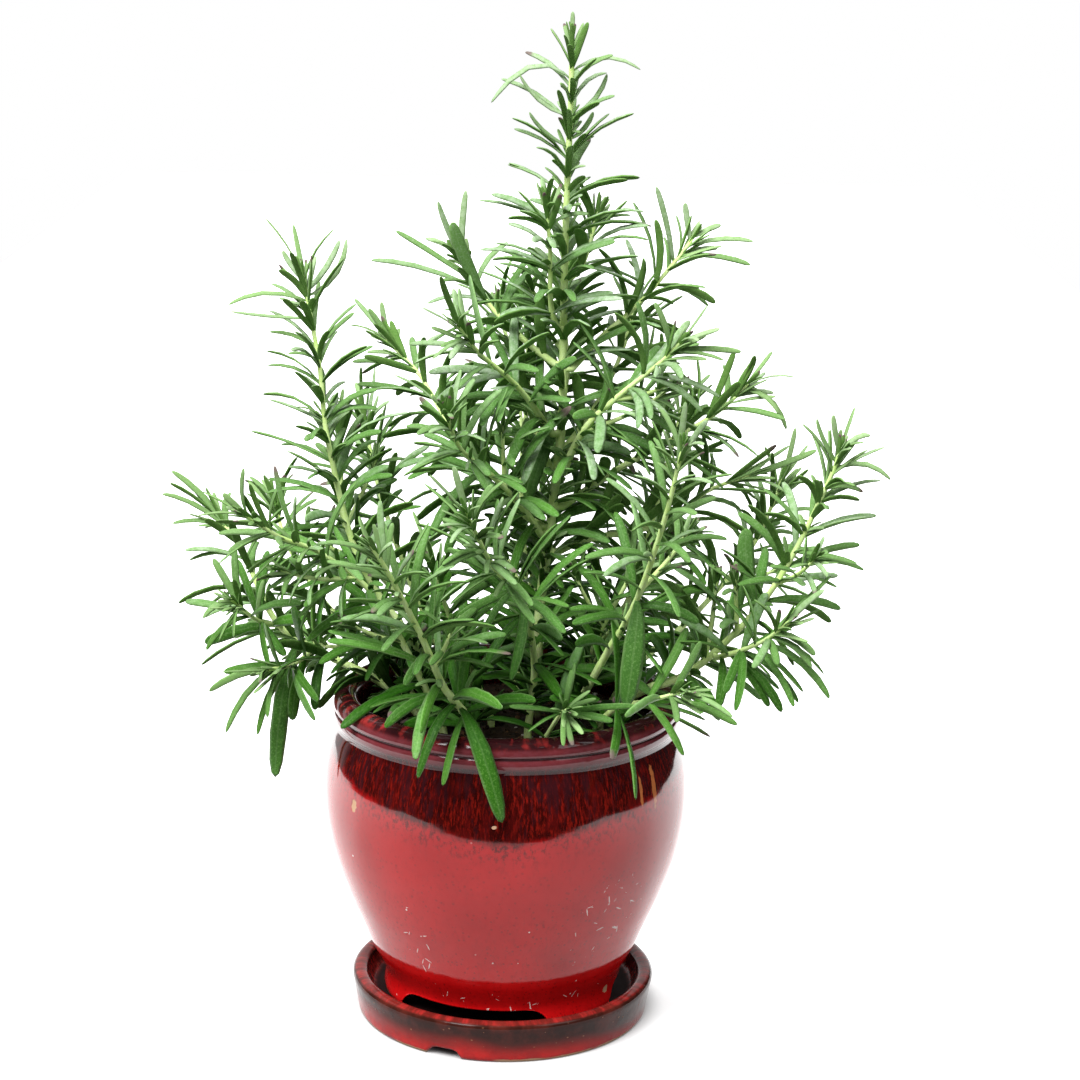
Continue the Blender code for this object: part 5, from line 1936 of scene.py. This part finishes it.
    def _tufts(self, name: str, where: float, share: float, turn: float, draw: random.Random) -> list[Leaf]:
        """Grows the small leaves of the side buds in one pair's axils.

        Args:
            name: The shoot.
            where: How far along it the pair is, in mm.
            share: Where that is in the shoot's leafy part.
            turn: The pair's turn about the stem, in degrees.
            draw: Where the chances come from.

        Returns:
            The leaves.
        """
        leaves: list[Leaf] = []
        for side in range(2):
            size = draw.uniform(0.36, 0.66) * self.LEAF_LENGTH
            if draw.random() > (0.6 if name == "trunk" else 0.3):
                continue
            for spread in (-34.0, 34.0):
                around = math.radians(turn + 180 * side + spread + draw.uniform(-8.0, 8.0))
                lean = math.radians(draw.uniform(22.0, 44.0))
                length = size * draw.uniform(0.75, 1.1)
                bow = math.radians(draw.uniform(4.0, 26.0))
                curve = self._sprout(name, where + 1.4, around, lean, bow, length)
                self._try(name, curve, draw.uniform(1.7, 2.7), LeafKind.TUFT, where, share, leaves)
        return leaves

    def _bud(self, name: str, draw: random.Random, count: int) -> list[Leaf]:
        """Grows the young leaves that close over the tip of a shoot or a sprig.

        Args:
            name: The shoot or the sprig.
            draw: Where the chances come from.
            count: How many leaves there are.

        Returns:
            The leaves.
        """
        leaves: list[Leaf] = []
        last = len(self.paths[name]) - 2
        for step in range(count):
            around = math.radians(self.GOLDEN_TURN * step + draw.uniform(-12.0, 12.0))
            lean = math.radians(4.0 + 2.2 * step)
            length = 6.5 + 1.5 * step * draw.uniform(0.85, 1.15)
            bow = math.radians(draw.uniform(-2.0, 12.0))
            curve = self._sprout(name, last - 1.3 * step, around, lean, bow, length)
            if self._inside(np.array(curve), 0.4):
                width = 1.3 + 0.15 * step
                leaves.append(Leaf(curve, width, LeafKind.BUD, self._onward(name, last), 1.0))
        return leaves


def leaf_length(share: float) -> float:
    """The length of a leaf at a share of its shoot's leafy part, over the longest."""
    return float(np.interp(share, [0.0, 0.3, 0.7, 0.93, 1.0], [0.72, 1.0, 0.92, 0.62, 0.46]))


def leaf_width(share: float) -> float:
    """The width in mm of a leaf at a share of its shoot's leafy part."""
    return float(np.interp(share, [0.0, 0.35, 0.8, 1.0], [5.2, 4.2, 3.0, 2.4]))


@dataclass
class Blade:
    """A leaf's shape, modelled once: 1 long and 1 wide, with rolled edges and a groove along the middle."""

    section: tuple[tuple[float, float], ...] = ((0.5, -0.2), (0.29, 0.42), (0.0, 0.14), (-0.29, 0.42),
                                                (-0.5, -0.2), (-0.36, -0.62), (0.0, -0.3), (0.36, -0.62))
    rings: tuple[tuple[float, float], ...] = ((0.0, 0.42), (0.1, 0.66), (0.3, 0.92), (0.55, 1.0),
                                              (0.78, 0.97), (0.92, 0.78), (0.98, 0.46))
    points: Points = field(init=False)
    faces: list[tuple[int, ...]] = field(init=False)
    bands: Points = field(init=False)

    def __post_init__(self) -> None:
        """Draws the section along the leaf, ring by ring, and closes it at the tip."""
        Bench.clear()
        bpy.ops.mesh.primitive_circle_add(vertices=8, radius=1.0, fill_type="NGON")
        piece = Bench.start("blade")
        work = bmesh.from_edit_mesh(piece.data)
        around = sorted(work.verts, key=lambda point: math.atan2(point.co.y, point.co.x) % math.tau)
        first = self.rings[0][1]
        for point, (across, up) in zip(around, self.section):
            point.co = (across * first, 0.0, up * first)
        bmesh.update_edit_mesh(piece.data)
        ends = [*self.rings[1:], (1.0, 0.0)]
        for (before, wide), (after, next_wide) in zip(self.rings, ends):
            bpy.ops.mesh.extrude_region_move(TRANSFORM_OT_translate={"value": (0, after - before, 0)})
            if next_wide:
                ratio = next_wide / wide
                bpy.ops.transform.resize(value=(ratio, 1, ratio), center_override=(0, 0, 0))
            else:
                bpy.ops.mesh.merge(type="CENTER")
        Bench.close()
        self.points, self.faces = Bench.pattern(piece)
        self.bands = self._bands()

    def _bands(self) -> Points:
        """Measures the blade.

        Returns:
            For each point: how far it is across, how far along, and whether it is on the underside.
        """
        widths = np.interp(self.points[:, 1], [ring[0] for ring in self.rings] + [1.0],
                           [ring[1] for ring in self.rings] + [0.05])
        across = np.clip(2.0 * self.points[:, 0] / widths, -1.0, 1.0)
        level = self.points[:, 2] / widths
        under = np.where(level < -0.25, 1.0, np.where(level < 0.0, 0.5, 0.0))
        return np.stack([across, self.points[:, 1], under], axis=1)

    def bend(self, leaf: Leaf, roll: float, twist: float) -> Points:
        """Bends a copy of the blade along a leaf's middle line.

        Args:
            leaf: The leaf.
            roll: How far it is turned about its middle line, in radians.
            twist: How much further it turns towards the tip, in radians.

        Returns:
            The points in mm.
        """
        root, bend, tip = leaf.curve
        t = self.points[:, 1:2]
        middle = bezier(leaf.curve, self.points[:, 1])
        onward = (1 - t) * (bend - root) + t * (tip - bend)
        onward /= np.linalg.norm(onward, axis=1)[:, None]
        upward = leaf.onward + np.array([0.0, 0.0, 0.9])
        if leaf.kind is LeafKind.PLACED:
            upward = 0.4 * upward + np.array([0.0, -1.0, 0.2])
        across = unit(np.cross(tip - root, upward))
        up = np.cross(across, onward)
        up /= np.linalg.norm(up, axis=1)[:, None]
        angle = roll + twist * t
        side = np.cos(angle) * across + np.sin(angle) * up
        top = np.cos(angle) * up - np.sin(angle) * across
        broad = min(max((leaf.width - 4.0) / 3.0, 0.0), 1.0)
        taper = 1.0 - 0.6 * broad * np.clip(1.0 - t / 0.65, 0.0, 1.0) ** 1.3
        thick = min(0.35 * leaf.width, 1.1)
        return middle + side * self.points[:, :1] * leaf.width * taper + top * self.points[:, 2:] * thick


@dataclass
class Rosemary:
    """The plant: all its shoots, each a stem with its leaves."""

    growth: Growth
    leaf_finish: LeafFinish
    stem_finish: StemFinish
    blade: Blade = field(default_factory=Blade)

    def grow(self) -> dict[str, list[Leaf]]:
        """Grows every leaf: first those that the solids have, in their order, then the finer ones.

        Returns:
            The leaves of each shoot.
        """
        leaves = {name: self.growth.placed(name) for name in self.growth.names}
        for name in self.growth.names:
            leaves[name] += self.growth.paired(name)
        LOG.info("%d leaves as in the solids", sum(len(own) for own in leaves.values()))
        for name in self.growth.names:
            leaves[name] += self.growth.branched(name)
        for name in self.growth.names:
            leaves[name] += self.growth.filled(name)
            draw = random.Random(f"{Growth.SEED} {name} bow")
            leaves[name] = [self.growth.bowed(leaf, draw) if leaf.kind in Growth.STRETCH else leaf
                            for leaf in leaves[name]]
        LOG.info("%d leaves in all", sum(len(own) for own in leaves.values()))
        return leaves

    def leafage(self, name: str, leaves: Sequence[Leaf]) -> Piece:
        """Makes one mesh of all the leaves of a shoot.

        Args:
            name: The shoot.
            leaves: Its leaves.

        Returns:
            The object, with the blade and tone of every point.
        """
        draw = random.Random(f"{Growth.SEED} {name} looks")
        places, tones = [], []
        for leaf in leaves:
            bud, placed = leaf.kind is LeafKind.BUD, leaf.kind is LeafKind.PLACED
            young = 0.9 if bud else 0.6 if leaf.kind is LeafKind.TUFT else leaf.share ** 3 * 0.7
            dry = draw.random()
            dryness = 1.0 if bud and dry > 0.75 else 0.9 if dry > 0.95 else 0.0
            fullness = 0.25 if placed and leaf.width > Growth.BROAD else 1.0
            tone = (fullness * draw.random(), young * draw.uniform(0.6, 1.0), dryness)
            roll = 0.0 if placed else draw.uniform(-0.8, 0.8)
            bent = self.blade.bend(leaf, roll, draw.uniform(-0.6, 0.6))
            places.append(np.clip(bent, *self.growth.box))
            tones += [tone] * len(bent)
        made = Bench.copies(f"leaves {name}", places, self.blade.faces)
        made.data.shade_smooth()
        paint(made.data, "blade", np.tile(self.blade.bands, (len(leaves), 1)))
        paint(made.data, "tone", np.array(tones))
        made.data.materials.append(self.leaf_finish.material)
        return made

    def stem(self, name: str) -> Piece:
        """Makes the shoot's stem: a tube through its path, which swells a little at each pair of leaves.

        Args:
            name: The shoot.

        Returns:
            The object, with the age of every point.
        """
        growth, shoot = self.growth, self.growth.shoots[name]
        path = growth.paths[name]
        whole = every(path, 2)
        shares = np.linspace(0.0, 1.0, len(whole))
        if shoot.parent != "soil":
            inner = growth.paths[shoot.parent]
            nearest = inner[int(np.argmin(np.linalg.norm(inner - whole[0], axis=1)))]
            whole = np.concatenate([[nearest, (nearest + whole[0]) / 2], whole])
            shares = np.concatenate([[0.0, 0.0], shares])
        curve = bpy.data.curves.new(f"stem {name}", "CURVE")
        curve.dimensions = "3D"
        curve.bevel_depth = MM
        curve.bevel_resolution = 3
        curve.use_fill_caps = True
        nodes = np.array([where / len(path) for where, _, _ in growth.pairs[name]])
        slim = 0.66 if shoot.name == "trunk" else 0.84 if shoot.parent == "soil" else 0.92
        radii = []
        for place, share in zip(whole, shares):
            swell = 0.1 * math.exp(-(np.abs(nodes - share).min() * len(path) / 1.5) ** 2)
            wander = 0.06 * noise.noise(Vector(place) / 9.0)
            closing = 1.0 if share < 0.985 else 0.6
            radii.append(slim * shoot.radius(float(share)) * (1.0 + swell + wander) * closing)
        self._line(curve, whole, radii)
        for sprig in growth.sprigs[name]:
            twig = growth.paths[sprig][::3]
            self._line(curve, twig, np.linspace(1.15, 0.6, len(twig)))
        Bench.hold(Bench.show(f"stem {name}", curve))
        bpy.ops.object.convert(target="MESH")
        made = bpy.context.active_object
        made.data.shade_smooth()
        self._age(made.data, shoot, whole, shares)
        made.data.materials.append(self.stem_finish.material)
        return made

    @staticmethod
    def _line(curve: bpy.types.Curve, line: Points, radii: Sequence[float]) -> None:
        """Adds a tube to a curve.

        Args:
            curve: The curve.
            line: The points of the tube's middle line in mm.
            radii: Its radius in mm at each of them.
        """
        spline = curve.splines.new("POLY")
        spline.points.add(len(line) - 1)
        for point, place, radius in zip(spline.points, line, radii):
            point.co = (*(Vector(place) * MM), 1.0)
            point.radius = radius

    @staticmethod
    def _age(mesh: bpy.types.Mesh, shoot: Shoot, line: Points, shares: Points) -> None:
        """Writes how woody each point is: old at the foot of a thick stem, young at the tip.

        Args:
            mesh: The stem's mesh.
            shoot: The shoot.
            line: The points of the stem's middle line in mm.
            shares: The share of the shoot at each of them.
        """
        points = np.array([tuple(point.co) for point in mesh.vertices]) / MM
        nearest = ((points[:, None, :] - line[None, :, :]) ** 2).sum(axis=2).argmin(axis=1)
        fade = 0.8 if shoot.name == "trunk" else 0.25 if shoot.parent == "soil" else 0.1
        paint(mesh, "age", np.clip(fade - 1.6 * shares[nearest], 0.0, 1.0))

    def build(self) -> None:
        """Makes every shoot and sets it in the frame."""
        leaves = self.grow()
        for name in self.growth.names:
            piece = Bench.join([self.leafage(name, leaves[name]), self.stem(name)])
            piece.name = f"shoot_{name}"
            piece.data.name = piece.name
            Bench.deliver(piece, [name], "woody_rosemary" if name == "trunk" else "rosemary")


@dataclass
class Studio:
    """A white table and soft lights, with the camera where the photographer stood. Lengths are metres."""

    camera_place: tuple[float, float, float] = (0.0123, -1.062, 0.471)
    pitch: float = 14.21
    roll: float = 1.11
    lens: float = 90.0
    table_front: float = -0.365
    table_back: float = 3.0
    table_side: float = 0.62
    aim: tuple[float, float, float] = (0.0, 0.0, 0.2)

    def camera(self) -> None:
        """Sets up the camera, pitched down and rolled a little."""
        pitch, roll = math.radians(self.pitch), math.radians(self.roll)
        right = Vector((1.0, 0.0, 0.0))
        up = Vector((0.0, math.sin(pitch), math.cos(pitch)))
        onward = Vector((0.0, math.cos(pitch), -math.sin(pitch)))
        across = math.cos(roll) * right + math.sin(roll) * up
        above = math.cos(roll) * up - math.sin(roll) * right
        data = bpy.data.cameras.new("photographer")
        data.lens = self.lens
        data.sensor_width = 36.0
        data.clip_start = 0.01
        camera = Bench.show("photographer", data)
        turned = Matrix((across, above, -onward)).transposed().to_4x4()
        camera.matrix_world = Matrix.Translation(self.camera_place) @ turned
        bpy.context.scene.camera = camera

    def table(self, finish: PaperFinish) -> None:
        """Sets up the pale table that the saucer stands on.

        Args:
            finish: The look of its paper.
        """
        Bench.clear()
        middle = (self.table_front + self.table_back) / 2
        bpy.ops.mesh.primitive_plane_add(size=1.0)
        table = Bench.start("table")
        bpy.ops.transform.resize(value=(2 * self.table_side, self.table_back - self.table_front, 1.0))
        bpy.ops.transform.translate(value=(0.0, middle, 0.0))
        bpy.ops.object.mode_set(mode="OBJECT")
        table.data.materials.append(finish.material)
        table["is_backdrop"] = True

    def lamp(self, name: str, place: Sequence[float], size: float, power: float) -> None:
        """Hangs a square soft light that faces the middle of the plant.

        Args:
            name: The light's name.
            place: Where it hangs.
            size: The length of its side.
            power: Its power in watts.
        """
        data = bpy.data.lights.new(name, "AREA")
        data.size = size
        data.energy = power
        lamp = Bench.show(name, data)
        lamp.location = place
        lamp.rotation_euler = (Vector(self.aim) - Vector(place)).to_track_quat("-Z", "Y").to_euler()

    def sun(self, name: str, place: Sequence[float], width: float, strength: float) -> None:
        """Adds an even light from a broad disc in the sky, which the glaze doesn't mirror.

        Args:
            name: The light's name.
            place: Where it stands, as a direction from the plant.
            width: How broad the disc looks, in degrees.
            strength: Its strength.
        """
        data = bpy.data.lights.new(name, "SUN")
        data.angle = math.radians(width)
        data.energy = strength
        lamp = Bench.show(name, data)
        lamp.rotation_euler = Vector(place).to_track_quat("Z", "Y").to_euler()
        lamp.visible_glossy = False

    def world(self) -> None:
        """Sets up white walls behind the plant and a dim room in front, which the glaze mirrors."""
        world = bpy.data.worlds.new("studio")
        world.use_nodes = True
        bpy.context.scene.world = world
        graph = Graph(world.node_tree)
        x, y, z = graph.node("TexCoord", output="Generated").split()
        flat = (x * x + y * y).math("SQRT").most(0.001)
        behind = (y - x * 0.25).math("DIVIDE", flat).step(0.7, 0.88)
        room = behind.mix((0.04, 0.04, 0.04), (1.1, 1.1, 1.1))
        room = (z.step(0.75, 0.97) * 0.5).mix(room, (0.8, 0.8, 0.8))
        sky = z.step(-0.1, 0.9, 0.05, 0.7)
        onto_plant = graph.node("LightPath", output="Is Diffuse Ray")
        soft = onto_plant.mix(room, graph.vector(sky, sky, sky))
        seen = onto_plant.other("Is Camera Ray").mix(soft, (1.0, 1.0, 1.0))
        graph.feed(world.node_tree.nodes["Background"].inputs["Color"], seen)

    def build(self, finish: PaperFinish) -> None:
        """Sets up the whole studio.

        Args:
            finish: The look of the paper on the table.
        """
        self.camera()
        self.table(finish)
        self.world()
        self.lamp("key light", (-0.75, -0.95, 1.6), 0.6, 16.0)
        self.lamp("fill light", (1.0, -0.7, 1.5), 0.8, 5.0)
        self.sun("high light", (-0.32, -0.62, 1.1), 38.0, 5.7)
        view = bpy.context.scene.view_settings
        view.view_transform = "Standard"
        view.look = "None"


def corners(box: tuple[Sequence[float], Sequence[float]]) -> list[list[float]]:
    """A box as plain lists of numbers."""
    return [[float(value) for value in corner] for corner in box]


def main() -> None:
    """Builds the studio, the saucer, the pot, the compost and the plant."""
    logging.basicConfig(level=logging.INFO, format="%(message)s")
    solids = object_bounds()
    effects = Effects()
    Studio().build(PaperFinish(effects))
    pot = Pot()
    Saucer().build(SaucerFinish(effects))
    pot.build(PotFinish(effects))
    Compost().build(SoilFinish(effects))
    shoots = [Shoot(name, *facts) for name, facts in SHOOTS.items()]
    box = tuple(np.array(corner) / MM for corner in corners(solids))
    Rosemary(Growth(shoots, pot, box), LeafFinish(effects), StemFinish(effects)).build()
    Bench.clear()


if __name__ == "__main__":
    main()
